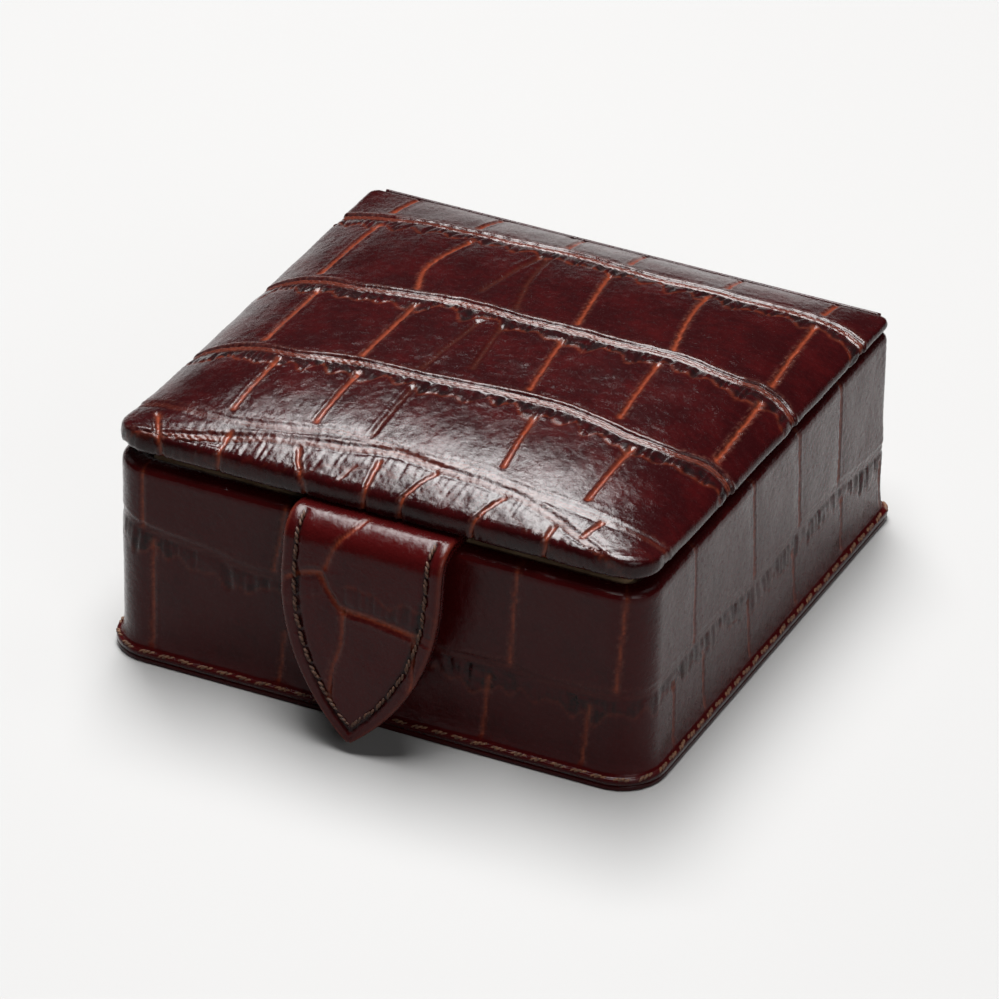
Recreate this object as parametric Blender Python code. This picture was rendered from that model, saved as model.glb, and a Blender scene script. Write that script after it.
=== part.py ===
"""A square leather jewellery case: a board box in embossed leather, with a padded lid on a leather hinge,
a shield-shaped tab with a press stud, and a suede-lined inside with ring rolls and two compartments.

Frame: metres, +Z up, front towards -Y, origin in the middle of the sole's underside.
"""

import math

import bmesh
import bpy
from mathutils import Vector

MM = 0.001

# Overall sizes
CASE_WIDTH = 94.4 * MM  # outside of the leather walls, along X
CASE_DEPTH = 94.0 * MM  # outside of the leather walls, along Y
RIM_HEIGHT = 35.8 * MM  # top of the leather rim above the table
FRONT_RADIUS = 6.5 * MM  # round front corners of the walls
BACK_RADIUS = 1.8 * MM  # nearly sharp back corners, where the hinge is

# Thicknesses and clearances
LEATHER = 1.1 * MM
LIP_PROUD = 1.3 * MM  # how far the sewn lip stands out from the walls
LIP_TOP = 2.1 * MM
SEAM_FROM_LIP_EDGE = 0.35 * MM
SOLE = 0.9 * MM
BOARD = 2.2 * MM
LINING = 1.0 * MM
FIT = 0.2 * MM  # glue-line gap between neighbouring pieces
SEAT = 0.3 * MM  # gap under a piece that rests on another
TURN_IN = 6.0 * MM  # leather turned down inside the rim
ROLL_SIZE = 1.6 * MM  # rounding of the rim

# Layers counted inwards from the outside of the walls
BOARD_OUTSIDE = LEATHER + FIT
BOARD_INSIDE = BOARD_OUTSIDE + BOARD
TURN_IN_INSIDE = BOARD_INSIDE + FIT + LEATHER
LINING_OUTSIDE = TURN_IN_INSIDE + FIT
LINING_INSIDE = LINING_OUTSIDE + LINING

# Inside of the base
FLOOR_BOARD = 2.0 * MM
FLOOR_PAD = 1.8 * MM
DIVIDER = 1.8 * MM
DIVIDER_TOP = 27.0 * MM
ROLL_COUNT = 4
ROLL_WIDTH = 8.9 * MM
ROLL_HEIGHT = 10.0 * MM
ROLL_GAP = 0.35 * MM
ROLL_END = [(0, 0.8), (0.5 * MM, 0.93), (1.6 * MM, 1.0)]  # (distance from the end, share of the full size)
BED_HEIGHT = 7.6 * MM  # foam bed under the ring rolls

# Lid
LID_AJAR = math.radians(1.2)  # the tab's root props the lid up at the front
HINGE_GAP = 0.55 * MM  # between the rim and the lid, at the back
LID_EDGE_FRONT = 3.8 * MM
LID_EDGE_SIDE = 1.5 * MM
LID_EDGE_FALL = 8.0 * MM  # distance over which the full front edge thins out along the sides
LID_CROWN = 9.8 * MM  # top of the padding above the lid's underside
LID_LEATHER = 0.8 * MM
LID_FRONT_RADIUS = 6.0 * MM
LID_TURN_IN = 9.0 * MM
LID_BOARD = 1.0 * MM
LID_BOARD_COVER = 0.62 * MM  # least air left between the board and the leather over its back edge
LID_BOARD_CORNER = 11.0 * MM
FOAM_BEHIND_BOARD = 2.3 * MM  # how far inside the board's edge the foam starts
FOAM_CLEAR = 1.3 * MM
LID_PAD_CROWN = 0.8 * MM
LID_PAD_PROUD = 1.0 * MM  # the lining pad stands this far below the lid's underside
SOFT_FRONT = 7.0 * MM  # how quickly the padding rises behind the front edge
SOFT_EDGE = 10.0 * MM  # at the sides
SOFT_BACK = 16.0 * MM  # and at the back, where the leather is pulled down to the hinge

# Hinge leather
SPINE = 1.0 * MM
SPINE_WIDTH = 90.0 * MM
SPINE_LOWER_HEIGHT = 14.0 * MM
SPINE_FOLD = 0.8 * MM  # free leather on each side of the hinge axis

# Tab
TAB_X = 0.8 * MM  # the tab and its stud sit a little right of the middle
TAB_HALF_WIDTH = 13.9 * MM
TAB_BEND = 5.2 * MM  # outside radius of the bend below the lid's edge
TAB_DROP = 37.3 * MM  # from the flex line down to the tip
TAB_STRAIGHT = 10.0 * MM  # drop at which the sides start to curve in
TAB_LEATHER = 0.9 * MM
TAB_GLUE = 0.25 * MM
TAB_LEAN = math.radians(7.6)  # the tab rests this far off its stud
TAB_SEAM = 2.2 * MM
BEND_STEPS = 7
DROP_STEPS = 16
ROOT_LENGTH = 8.0 * MM
FLEX_PROUD = 0.2 * MM  # the flex line, in the tab's upper face, lies this far in front of the wall
THREAD = 0.55 * MM

# Press stud
STUD_HEIGHT = 19.0 * MM
STUD_DISC_RADIUS = 5.0 * MM
STUD_DISC = 0.7 * MM
STUD_NECK_RADIUS = 1.8 * MM
STUD_HEAD_RADIUS = 2.2 * MM
STUD_TRAVEL = 1.7 * MM  # height of the stud's head above its disc
STUD_CLEAR = 0.25 * MM
SOCKET_RADIUS = 4.7 * MM
RIVET_RADIUS = 1.3 * MM
RIVET_HOLE = 1.6 * MM
RIVET_FLANGE_RADIUS = 3.8 * MM
RIVET_FLANGE = 0.4 * MM

# Values that follow from the ones above
FRONT = -CASE_DEPTH / 2
BACK = CASE_DEPTH / 2
LID_BOARD_CEILING = 2 * LID_LEATHER + FIT + LID_BOARD + LID_BOARD_COVER
LID_BOARD_SHARE = (LID_BOARD_CEILING - LID_EDGE_SIDE) / (LID_CROWN - LID_EDGE_SIDE)
LID_BOARD_INSET = -SOFT_BACK * math.log(1 - LID_BOARD_SHARE)  # where the padding can cover the board
FOAM_INSET = LID_BOARD_INSET + FOAM_BEHIND_BOARD
FLOOR_BOTTOM = SOLE + SEAT
FLOOR_TOP = FLOOR_BOTTOM + FLOOR_BOARD
PAD_BOTTOM = FLOOR_TOP + FIT
PAD_TOP = PAD_BOTTOM + FLOOR_PAD
INSIDE_WIDTH = CASE_WIDTH - 2 * LINING_INSIDE
INSIDE_DEPTH = CASE_DEPTH - 2 * LINING_INSIDE
HINGE_Y = BACK + FIT + SPINE / 2
HINGE_Z = RIM_HEIGHT + HINGE_GAP / 2
FLEX_Y = FRONT - FLEX_PROUD
TAB_THICK = 2 * TAB_LEATHER + TAB_GLUE
LID_UNDERSIDE_AT_FLEX = RIM_HEIGHT + HINGE_GAP + (HINGE_Y - FLEX_Y) * math.tan(LID_AJAR)
FLEX_Z = LID_UNDERSIDE_AT_FLEX - FIT
SECTION_WIDTH = ROLL_COUNT * (ROLL_WIDTH + ROLL_GAP)
SOCKET_DEPTH = TAB_BEND + FLEX_PROUD - TAB_THICK - 3 * FIT - STUD_DISC

COLOURS = {
    "leather": ((0.10, 0.012, 0.010), 0.25, 0.0),
    "sole_leather": ((0.07, 0.014, 0.010), 0.55, 0.0),
    "board": ((0.35, 0.32, 0.28), 0.9, 0.0),
    "foam": ((0.75, 0.72, 0.66), 0.95, 0.0),
    "suede": ((0.42, 0.30, 0.20), 0.95, 0.0),
    "thread": ((0.16, 0.07, 0.03), 0.8, 0.0),
    "metal": ((0.55, 0.42, 0.22), 0.3, 1.0),
}


def clear_scene():
    for old in list(bpy.data.objects):
        bpy.data.objects.remove(old)


def material(name):
    """The named finish, made once as a Principled BSDF."""
    found = bpy.data.materials.get(name)
    if found:
        return found
    colour, roughness, metallic = COLOURS[name]
    made = bpy.data.materials.new(name)
    made.use_nodes = True
    shader = made.node_tree.nodes["Principled BSDF"]
    shader.inputs["Base Color"].default_value = (*colour, 1.0)
    shader.inputs["Roughness"].default_value = roughness
    shader.inputs["Metallic"].default_value = metallic
    return made


def finish(name, bm, finish_name, parent=None, smooth=True):
    """Turns a bmesh into a named object with a finish, its faces pointing outwards."""
    bmesh.ops.recalc_face_normals(bm, faces=bm.faces)
    mesh = bpy.data.meshes.new(name)
    bm.to_mesh(mesh)
    bm.free()
    if smooth:
        mesh.shade_smooth()
        mesh.set_sharp_from_angle(angle=math.radians(35))
    mesh.materials.append(material(finish_name))
    made = bpy.data.objects.new(name, mesh)
    bpy.context.scene.collection.objects.link(made)
    made.parent = parent
    return made


def empty(name, location, turn_about_x, parent=None):
    """A parent that carries a moving body: its origin lies on the joint's axis."""
    made = bpy.data.objects.new(name, None)
    bpy.context.scene.collection.objects.link(made)
    made.location = location
    made.rotation_euler.x = turn_about_x
    made.parent = parent
    return made


def arc(centre, radius, start, end, steps):
    """Points on an arc in the XY plane, both ends included, angles in degrees."""
    points = []
    for i in range(steps + 1):
        angle = math.radians(start + (end - start) * i / steps)
        points.append((centre[0] + radius * math.cos(angle), centre[1] + radius * math.sin(angle)))
    return points


def outline(inset, front_radius=FRONT_RADIUS, back_radius=BACK_RADIUS, steps=6, side_steps=1):
    """The case's plan, moved inwards by inset: round front corners, tighter back corners."""
    half_x = CASE_WIDTH / 2 - inset
    half_y = CASE_DEPTH / 2 - inset
    front = max(front_radius - inset, 0.4 * MM)
    back = max(back_radius - inset, 0.4 * MM)
    corners = [
        arc((-half_x + front, -half_y + front), front, 180, 270, steps),
        arc((half_x - front, -half_y + front), front, 270, 360, steps),
        arc((half_x - back, half_y - back), back, 0, 90, steps),
        arc((-half_x + back, half_y - back), back, 90, 180, steps),
    ]
    points = []
    for corner, following in zip(corners, corners[1:] + corners[:1]):
        start, end = Vector(corner[-1]), Vector(following[0])
        points += corner
        points += [tuple(start.lerp(end, i / side_steps)) for i in range(1, side_steps)]
    return points


def loop_of(bm, points):
    """A closed loop of points, not yet joined to anything."""
    return [bm.verts.new(point) for point in points]


def join(bm, loops):
    """A strip of quads between each loop and the next. The loops match point for point."""
    for first, second in zip(loops, loops[1:]):
        for i in range(len(first)):
            bm.faces.new((first[i - 1], first[i], second[i], second[i - 1]))


def cap(bm, loop):
    """Closes a loop with one face."""
    bm.faces.new(loop)


def sweep_round(profile):
    """A closed ring: a section of (inset, height) pairs carried round the case's plan."""
    bm = bmesh.new()
    loops = [loop_of(bm, [(x, y, height) for x, y in outline(inset)]) for inset, height in profile]
    join(bm, loops + loops[:1])
    return bm


def plate(points, bottom, top):
    """A flat piece cut to a plan outline."""
    bm = bmesh.new()
    face = bm.faces.new([bm.verts.new((x, y, bottom)) for x, y in points])
    raised = bmesh.ops.extrude_face_region(bm, geom=[face])["geom"]
    raised_verts = [v for v in raised if isinstance(v, bmesh.types.BMVert)]
    bmesh.ops.translate(bm, verts=raised_verts, vec=(0, 0, top - bottom))
    return bm


def block(low, high):
    """A rectangular piece between two corners."""
    plan = [(low[0], low[1]), (high[0], low[1]), (high[0], high[1]), (low[0], high[1])]
    return plate(plan, low[2], high[2])


def turned(profile, steps=24):
    """A piece turned about the Y axis. The profile is (radius, along Y) pairs from axis to axis."""
    bm = bmesh.new()
    verts = [bm.verts.new((radius, along, 0)) for radius, along in profile]
    edges = [bm.edges.new(pair) for pair in zip(verts, verts[1:])]
    bmesh.ops.spin(
        bm, geom=verts + edges, cent=(0, 0, 0), axis=(0, 1, 0), angle=2 * math.pi, steps=steps, use_merge=True
    )
    bmesh.ops.remove_doubles(bm, verts=bm.verts, dist=0.01 * MM)
    return bm


def drill(target, radius, centre, length, name):
    """Cuts a round hole along Y with a hidden cutter that has target's parent."""
    bm = turned([(0, -length / 2), (radius, -length / 2), (radius, length / 2), (0, length / 2)])
    bmesh.ops.translate(bm, verts=bm.verts, vec=centre)
    cutter = finish(name, bm, "board", target.parent, smooth=False)
    cutter.hide_render = True
    cutter.display_type = "WIRE"
    cut = target.modifiers.new(name, "BOOLEAN")
    cut.operation = "DIFFERENCE"
    cut.object = cutter


def thread_tube(name, points, closed, parent):
    """Sewing thread as a thin tube along its seam."""
    curve = bpy.data.curves.new(name, "CURVE")
    curve.dimensions = "3D"
    curve.bevel_depth = THREAD / 2
    curve.bevel_resolution = 1
    curve.use_fill_caps = not closed
    spline = curve.splines.new("POLY")
    spline.points.add(len(points) - 1)
    for slot, point in zip(spline.points, points):
        slot.co = (*point, 1)
    spline.use_cyclic_u = closed
    curve.materials.append(material("thread"))
    made = bpy.data.objects.new(name, curve)
    bpy.context.scene.collection.objects.link(made)
    made.parent = parent
    return made


# The base


def make_sole():
    finish("sole_leather", plate(outline(-LIP_PROUD), 0, SOLE), "sole_leather")


def make_wall_leather():
    """Wall leather: turned out at the foot as a sewn lip, rolled over the boards at the rim, turned in."""
    lip_bottom = SOLE + FIT
    top = RIM_HEIGHT
    rolled = ROLL_SIZE
    profile = [
        (-LIP_PROUD, lip_bottom),
        (-LIP_PROUD, LIP_TOP),
        (-0.45 * LIP_PROUD, LIP_TOP + 0.35 * MM),
        (-0.1 * LIP_PROUD, LIP_TOP + 1.3 * MM),
        (0, LIP_TOP + 3.0 * MM),
        (0, top - rolled),
        (0.3 * rolled, top - 0.3 * rolled),
        (rolled, top),
        (TURN_IN_INSIDE - rolled, top),
        (TURN_IN_INSIDE - 0.3 * rolled, top - 0.3 * rolled),
        (TURN_IN_INSIDE, top - rolled),
        (TURN_IN_INSIDE, top - TURN_IN),
        (TURN_IN_INSIDE - LEATHER, top - TURN_IN),
        (TURN_IN_INSIDE - LEATHER, top - LEATHER),
        (LEATHER, top - LEATHER),
        (LEATHER, LIP_TOP + 1.5 * MM),
        (LEATHER - 0.3 * MM, lip_bottom),
    ]
    wall = finish("wall_leather", sweep_round(profile), "leather")
    drill(wall, RIVET_HOLE, (TAB_X, FRONT, STUD_HEIGHT), 3 * LEATHER, "stud_hole_in_leather")


def make_boards():
    """Board walls: the front one is bent round its two corners, and the others butt against it."""
    bottom = FLOOR_BOTTOM
    top = RIM_HEIGHT - LEATHER - FIT
    steps = 6
    outside = outline(BOARD_OUTSIDE, steps=steps)[: 2 * (steps + 1)]
    inside = outline(BOARD_INSIDE, steps=steps)[: 2 * (steps + 1)]
    end_y = outside[0][1]
    inside[0] = (inside[0][0], end_y)
    inside[-1] = (inside[-1][0], end_y)
    front = finish("board_front", plate(outside + inside[::-1], bottom, top), "board")
    hole_place = (TAB_X, FRONT + BOARD_OUTSIDE + BOARD / 2, STUD_HEIGHT)
    drill(front, RIVET_HOLE, hole_place, 2 * BOARD, "stud_hole_in_board")
    half_out = CASE_WIDTH / 2 - BOARD_OUTSIDE
    half_in = CASE_WIDTH / 2 - BOARD_INSIDE
    back_y = CASE_DEPTH / 2 - BOARD_OUTSIDE
    for name, low_x, high_x in (("board_left", -half_out, -half_in), ("board_right", half_in, half_out)):
        finish(name, block((low_x, end_y + FIT, bottom), (high_x, back_y, top)), "board")
    half_back = half_in - FIT
    finish("board_back", block((-half_back, back_y - BOARD, bottom), (half_back, back_y, top)), "board")
    finish("board_floor", plate(outline(BOARD_INSIDE + FIT), bottom, FLOOR_TOP), "board")


def make_base_lining():
    top = RIM_HEIGHT - 0.4 * MM
    profile = [(LINING_OUTSIDE, PAD_BOTTOM), (LINING_OUTSIDE, top)]
    profile += [(LINING_INSIDE, top), (LINING_INSIDE, PAD_BOTTOM)]
    finish("wall_lining", sweep_round(profile), "suede")
    finish("floor_pad", plate(outline(LINING_INSIDE + FIT), PAD_BOTTOM, PAD_TOP), "suede")


def make_dividers():
    """A long divider in front of the ring rolls' side, and a short one that halves what is left."""
    half_x = INSIDE_WIDTH / 2 - FIT
    half_y = INSIDE_DEPTH / 2 - FIT
    long_right = half_x - SECTION_WIDTH
    long_left = long_right - DIVIDER
    bottom = PAD_TOP + FIT
    low, high = (long_left, -half_y, bottom), (long_right, half_y, DIVIDER_TOP)
    finish("long_divider", block(low, high), "suede")
    low, high = (-half_x, -DIVIDER / 2, bottom), (long_left - FIT, DIVIDER / 2, DIVIDER_TOP)
    finish("short_divider", block(low, high), "suede")
    return long_right + FIT, half_x, half_y


def make_ring_rolls(left, right, half_y):
    """Foam bed and, on it, upholstered rolls side by side: rings are held in the slots between them."""
    bed_bottom = PAD_TOP + FIT
    bed_top = bed_bottom + BED_HEIGHT
    finish("ring_bed", block((left, -half_y, bed_bottom), (right, half_y, bed_top)), "foam")
    pitch = (right - left) / ROLL_COUNT
    roll_bottom = bed_top + FIT
    shoulder = ROLL_WIDTH / 2
    for number in range(ROLL_COUNT):
        centre = left + pitch * (number + 0.5)
        crown = reversed(arc((0, ROLL_HEIGHT - shoulder), shoulder, 0, 180, 8))
        section = [(-shoulder, 0), *crown, (shoulder, 0)]
        bm = bmesh.new()
        loops = []
        for end, order in ((-1, 1), (1, -1)):
            for inset, share in ROLL_END[::order]:
                y = end * (half_y - FIT - inset)
                points = [(centre + share * x, y, roll_bottom + share * z) for x, z in section]
                loops.append(loop_of(bm, points))
        join(bm, loops)
        cap(bm, loops[0])
        cap(bm, loops[-1])
        finish(f"ring_roll_{number + 1}", bm, "suede")


def make_base_thread():
    """The thread that sews the walls' lip to the sole, all the way round."""
    height = LIP_TOP + THREAD / 2 + 0.3 * MM
    points = [(x, y, height) for x, y in outline(SEAM_FROM_LIP_EDGE - LIP_PROUD)]
    thread_tube("base_thread", points, True, None)


def make_stud():
    """The male half of the press stud on the front wall, and the rivet that holds it from behind."""
    face = -FIT
    disc = face - STUD_DISC
    head = disc - STUD_TRAVEL
    profile = [
        (0, face),
        (STUD_DISC_RADIUS, face),
        (STUD_DISC_RADIUS, disc + 0.3 * MM),
        (STUD_DISC_RADIUS - 0.7 * MM, disc),
        (STUD_NECK_RADIUS, disc),
        (STUD_NECK_RADIUS, disc - 0.35 * STUD_TRAVEL),
        (STUD_HEAD_RADIUS, disc - 0.6 * STUD_TRAVEL),
        (0.75 * STUD_HEAD_RADIUS, head + 0.1 * MM),
        (0, head),
    ]
    bm = turned(profile)
    bmesh.ops.translate(bm, verts=bm.verts, vec=(TAB_X, FRONT, STUD_HEIGHT))
    finish("stud_post", bm, "metal")
    inner = BOARD_INSIDE + FIT
    profile = [
        (0, 0),
        (RIVET_RADIUS, 0),
        (RIVET_RADIUS, inner),
        (RIVET_FLANGE_RADIUS, inner),
        (RIVET_FLANGE_RADIUS, inner + RIVET_FLANGE),
        (0, inner + RIVET_FLANGE),
    ]
    bm = turned(profile)
    bmesh.ops.translate(bm, verts=bm.verts, vec=(TAB_X, FRONT, STUD_HEIGHT))
    finish("stud_rivet", bm, "metal")


def make_lower_spine():
    """The half of the hinge leather that is glued to the back wall."""
    low = (-SPINE_WIDTH / 2, HINGE_Y - SPINE / 2, HINGE_Z - SPINE_FOLD - SPINE_LOWER_HEIGHT)
    high = (SPINE_WIDTH / 2, HINGE_Y + SPINE / 2, HINGE_Z - SPINE_FOLD)
    finish("hinge_leather_lower", block(low, high), "leather")


# The lid, in a frame whose origin is on the hinge axis


def rise(distance, softness):
    """How much of its full height the padding has reached at a distance from an edge."""
    return 1 - math.exp(-max(distance, 0) / softness)


def lid_edge(y):
    """Thickness of the lid's rounded edge: full at the front, thin along the sides and at the hinge."""
    return LID_EDGE_SIDE + (LID_EDGE_FRONT - LID_EDGE_SIDE) * math.exp((FRONT - y) / LID_EDGE_FALL)


def lid_top(x, y):
    """Height of the padded top above the lid's underside."""
    edge = lid_edge(y)
    sides = rise(CASE_WIDTH / 2 - abs(x), SOFT_EDGE)
    front = rise(y - FRONT, SOFT_FRONT)
    back = rise(BACK - y, SOFT_BACK)
    return edge + (LID_CROWN - edge) * sides * front * back


def lid_loop(bm, inset, height):
    """A loop round the lid's plan. height is a function of (x, y)."""
    plan = outline(inset, LID_FRONT_RADIUS, BACK_RADIUS, 4, 7)
    base = RIM_HEIGHT + HINGE_GAP - HINGE_Z
    return loop_of(bm, [(x, y - HINGE_Y, base + height(x, y)) for x, y in plan])


TOP_INSETS = [1.2 * MM, 2.4 * MM, 4.0 * MM, 6.5 * MM, 10.0 * MM, 15.0 * MM, 22.0 * MM, 32.0 * MM]


def make_lid_leather(lid):
    """Cover leather: domed top, rounded edge, and a margin turned in under the board."""
    bm = bmesh.new()
    skin = LID_LEATHER
    outside = [
        lid_loop(bm, LID_TURN_IN, lambda x, y: 0),
        lid_loop(bm, 1.2 * MM, lambda x, y: 0),
        lid_loop(bm, 0.2 * MM, lambda x, y: 0.22 * lid_edge(y)),
        lid_loop(bm, 0, lambda x, y: 0.5 * lid_edge(y)),
        lid_loop(bm, 0.3 * MM, lambda x, y: 0.82 * lid_edge(y)),
    ]
    outside += [lid_loop(bm, inset, lid_top) for inset in TOP_INSETS]
    inner_insets = [inset + skin for inset in reversed(TOP_INSETS[1:])]
    inside = [lid_loop(bm, inset, lambda x, y: lid_top(x, y) - skin) for inset in inner_insets]
    inside += [
        lid_loop(bm, 2.4 * MM, lambda x, y: skin + FIT),
        lid_loop(bm, LID_TURN_IN, lambda x, y: skin),
    ]
    join(bm, outside)
    cap(bm, outside[-1])
    cap(bm, inside[0])
    join(bm, inside + [outside[0]])
    finish("lid_leather", bm, "leather", lid)


def make_lid_core(lid):
    """The lid's board and the foam dome glued on it."""
    base = RIM_HEIGHT + HINGE_GAP - HINGE_Z
    bottom = LID_LEATHER + FIT
    top = bottom + LID_BOARD
    corners = LID_BOARD_INSET + LID_BOARD_CORNER
    plan = [(x, y - HINGE_Y) for x, y in outline(LID_BOARD_INSET, corners, corners)]
    finish("lid_board", plate(plan, base + bottom, base + top), "board", lid)
    bm = bmesh.new()
    under = LID_LEATHER + FOAM_CLEAR
    foam_bottom = top + FIT
    insets = [inset + FOAM_INSET for inset in TOP_INSETS[:-1]]
    loops = [lid_loop(bm, insets[0] - FIT, lambda x, y: foam_bottom)]
    thinnest = foam_bottom + FIT
    loops += [lid_loop(bm, inset, lambda x, y: max(lid_top(x, y) - under, thinnest)) for inset in insets]
    join(bm, loops)
    cap(bm, loops[0])
    cap(bm, loops[-1])
    finish("lid_foam", bm, "foam", lid)


def make_lid_lining(lid):
    """The suede pad inside the turned-in leather. It enters the mouth of the base by a millimetre."""
    bm = bmesh.new()
    inset = LID_TURN_IN + FIT
    loops = [
        lid_loop(bm, inset, lambda x, y: LID_LEATHER),
        lid_loop(bm, inset, lambda x, y: -LID_PAD_PROUD * 0.6),
        lid_loop(bm, inset + 1.0 * MM, lambda x, y: -LID_PAD_PROUD),
        lid_loop(bm, inset + 9.0 * MM, lambda x, y: -LID_PAD_PROUD - 0.7 * LID_PAD_CROWN),
        lid_loop(bm, inset + 20.0 * MM, lambda x, y: -LID_PAD_PROUD - LID_PAD_CROWN),
    ]
    join(bm, loops)
    cap(bm, loops[0])
    cap(bm, loops[-1])
    finish("lid_lining_pad", bm, "suede", lid)


def make_upper_spine(lid):
    """The half of the hinge leather that is glued to the lid's back edge."""
    low = (-SPINE_WIDTH / 2, -SPINE / 2, SPINE_FOLD)
    high = (SPINE_WIDTH / 2, SPINE / 2, HINGE_GAP / 2 + LID_EDGE_SIDE)
    finish("hinge_leather_upper", block(low, high), "leather", lid)


def make_tab_root(lid):
    """The tab's fixed end, glued under the lid's front edge: the lid rests on it when it is shut."""
    top = HINGE_GAP / 2 - FIT
    front = FLEX_Y - HINGE_Y + SEAT
    low = (TAB_X - TAB_HALF_WIDTH, front, top - TAB_THICK)
    high = (TAB_X + TAB_HALF_WIDTH, front + ROOT_LENGTH, top)
    finish("tab_root", block(low, high), "leather", lid)


# The tab, in a frame whose origin is on the flex line under the lid's front edge


def tab_path(along, inset):
    """A point (y, z) of the tab's section, inset below its front surface, and the outward normal."""
    radius = TAB_BEND
    bend_length = radius * math.pi / 2
    if along < bend_length:
        angle = along / radius
        normal = Vector((0, -math.sin(angle), math.cos(angle)))
        surface = Vector((0, 0, -radius)) + radius * normal
    else:
        normal = Vector((0, -1, 0))
        surface = Vector((0, -radius, -radius - (along - bend_length)))
    return surface - inset * normal, normal


def tab_length():
    return TAB_BEND * math.pi / 2 + TAB_DROP - TAB_BEND


def tab_half_width(along, margin=0.0):
    """Half the shield's width at a distance along it: straight sides, then arcs that meet at the tip."""
    length = tab_length() - margin
    half = TAB_HALF_WIDTH - margin
    start = TAB_STRAIGHT + TAB_BEND * (math.pi / 2 - 1)
    if along <= start:
        return half
    run = length - start
    radius = (run**2 + half**2) / (2 * half)
    return max(math.sqrt(max(radius**2 - (along - start) ** 2, 0)) - (radius - half), 0)


def tab_layer(depth_front, depth_back, margin=0.0):
    """One leather layer of the tab, between two depths below its front surface."""
    bm = bmesh.new()
    length = tab_length() - margin
    bend_length = TAB_BEND * math.pi / 2
    start = FLEX_PROUD
    last = length - 0.4 * MM
    along = [start + (bend_length - start) * i / BEND_STEPS for i in range(BEND_STEPS)]
    along += [bend_length + (last - bend_length) * i / DROP_STEPS for i in range(DROP_STEPS + 1)]
    loops = []
    for distance in along:
        half = max(tab_half_width(distance, margin), 0.9 * MM)
        front, _ = tab_path(distance, depth_front)
        back, _ = tab_path(distance, depth_back)
        corners = [(-half, front), (half, front), (half, back), (-half, back)]
        loops.append(loop_of(bm, [(x, point.y, point.z) for x, point in corners]))
    join(bm, loops)
    cap(bm, loops[0])
    cap(bm, loops[-1])
    return bm


def make_tab(tab):
    stud_z = STUD_HEIGHT - FLEX_Z
    front_depth = TAB_LEATHER
    back_start = TAB_LEATHER + TAB_GLUE
    front = finish("tab_front_leather", tab_layer(0, front_depth), "leather", tab)
    back = finish("tab_back_leather", tab_layer(back_start, TAB_THICK), "sole_leather", tab)
    face = -TAB_BEND
    pocket = (0, face + front_depth, stud_z)
    drill(front, RIVET_FLANGE_RADIUS + FIT, pocket, 2 * 0.35 * MM, "rivet_pocket")
    drill(back, RIVET_HOLE, (0, face + back_start, stud_z), 3 * TAB_LEATHER, "rivet_hole_in_tab")


def make_socket(tab):
    """The female half of the press stud on the tab's back, and its rivet."""
    stud_z = STUD_HEIGHT - FLEX_Z
    seat = TAB_THICK + FIT
    mouth = seat + SOCKET_DEPTH
    bore = STUD_HEAD_RADIUS + STUD_CLEAR
    profile = [
        (0, seat),
        (SOCKET_RADIUS, seat),
        (SOCKET_RADIUS, mouth - 0.6 * MM),
        (SOCKET_RADIUS - 0.8 * MM, mouth),
        (bore, mouth),
        (bore, mouth - STUD_TRAVEL),
        (0, mouth - STUD_TRAVEL),
    ]
    bm = turned(profile)
    bmesh.ops.translate(bm, verts=bm.verts, vec=(0, -TAB_BEND, stud_z))
    finish("stud_socket", bm, "metal", tab)
    flange = TAB_LEATHER - 0.3 * MM + 0.05 * MM
    profile = [
        (0, flange),
        (RIVET_FLANGE_RADIUS, flange),
        (RIVET_FLANGE_RADIUS, flange + RIVET_FLANGE),
        (RIVET_RADIUS, flange + RIVET_FLANGE),
        (RIVET_RADIUS, seat - 0.1 * MM),
        (0, seat - 0.1 * MM),
    ]
    bm = turned(profile)
    bmesh.ops.translate(bm, verts=bm.verts, vec=(0, -TAB_BEND, stud_z))
    finish("socket_rivet", bm, "metal", tab)


def make_tab_thread(tab):
    """The seam round the shield, a thread's width above the front leather."""
    above = -(THREAD / 2 + 0.1 * MM)
    steps = BEND_STEPS + DROP_STEPS
    start = 3.0 * MM
    length = tab_length() - TAB_SEAM
    side = []
    for i in range(steps + 1):
        distance = start + (length - start) * i / steps
        side.append((tab_half_width(distance, TAB_SEAM), tab_path(distance, above)[0]))
    left = [(-half, point.y, point.z) for half, point in side]
    right = [(half, point.y, point.z) for half, point in reversed(side[:-1])]
    thread_tube("tab_thread", left + right, False, tab)


def main():
    clear_scene()
    make_sole()
    make_wall_leather()
    make_boards()
    make_base_lining()
    left, right, half_y = make_dividers()
    make_ring_rolls(left, right, half_y)
    make_base_thread()
    make_stud()
    make_lower_spine()
    lid = empty("lid_frame", (0, HINGE_Y, HINGE_Z), -LID_AJAR)
    make_lid_leather(lid)
    make_lid_core(lid)
    make_lid_lining(lid)
    make_upper_spine(lid)
    make_tab_root(lid)
    tab = empty("tab_frame", (TAB_X, FLEX_Y, FLEX_Z), -TAB_LEAN)
    make_tab(tab)
    make_socket(tab)
    make_tab_thread(tab)


main()
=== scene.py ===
# %% [markdown]
# # A small leather jewellery case, finished
# The frame is already built: boards, covers and a press stud that open on two joints.
# This lesson dresses it in the real materials: glossy calf stamped with big square scales,
# twisted thread, suede and brass. We load the frame first and keep its parts and their boxes.

# %% Load the frame
import math

import bmesh
import bpy
import numpy as np
from mathutils import Matrix, Vector


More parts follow.
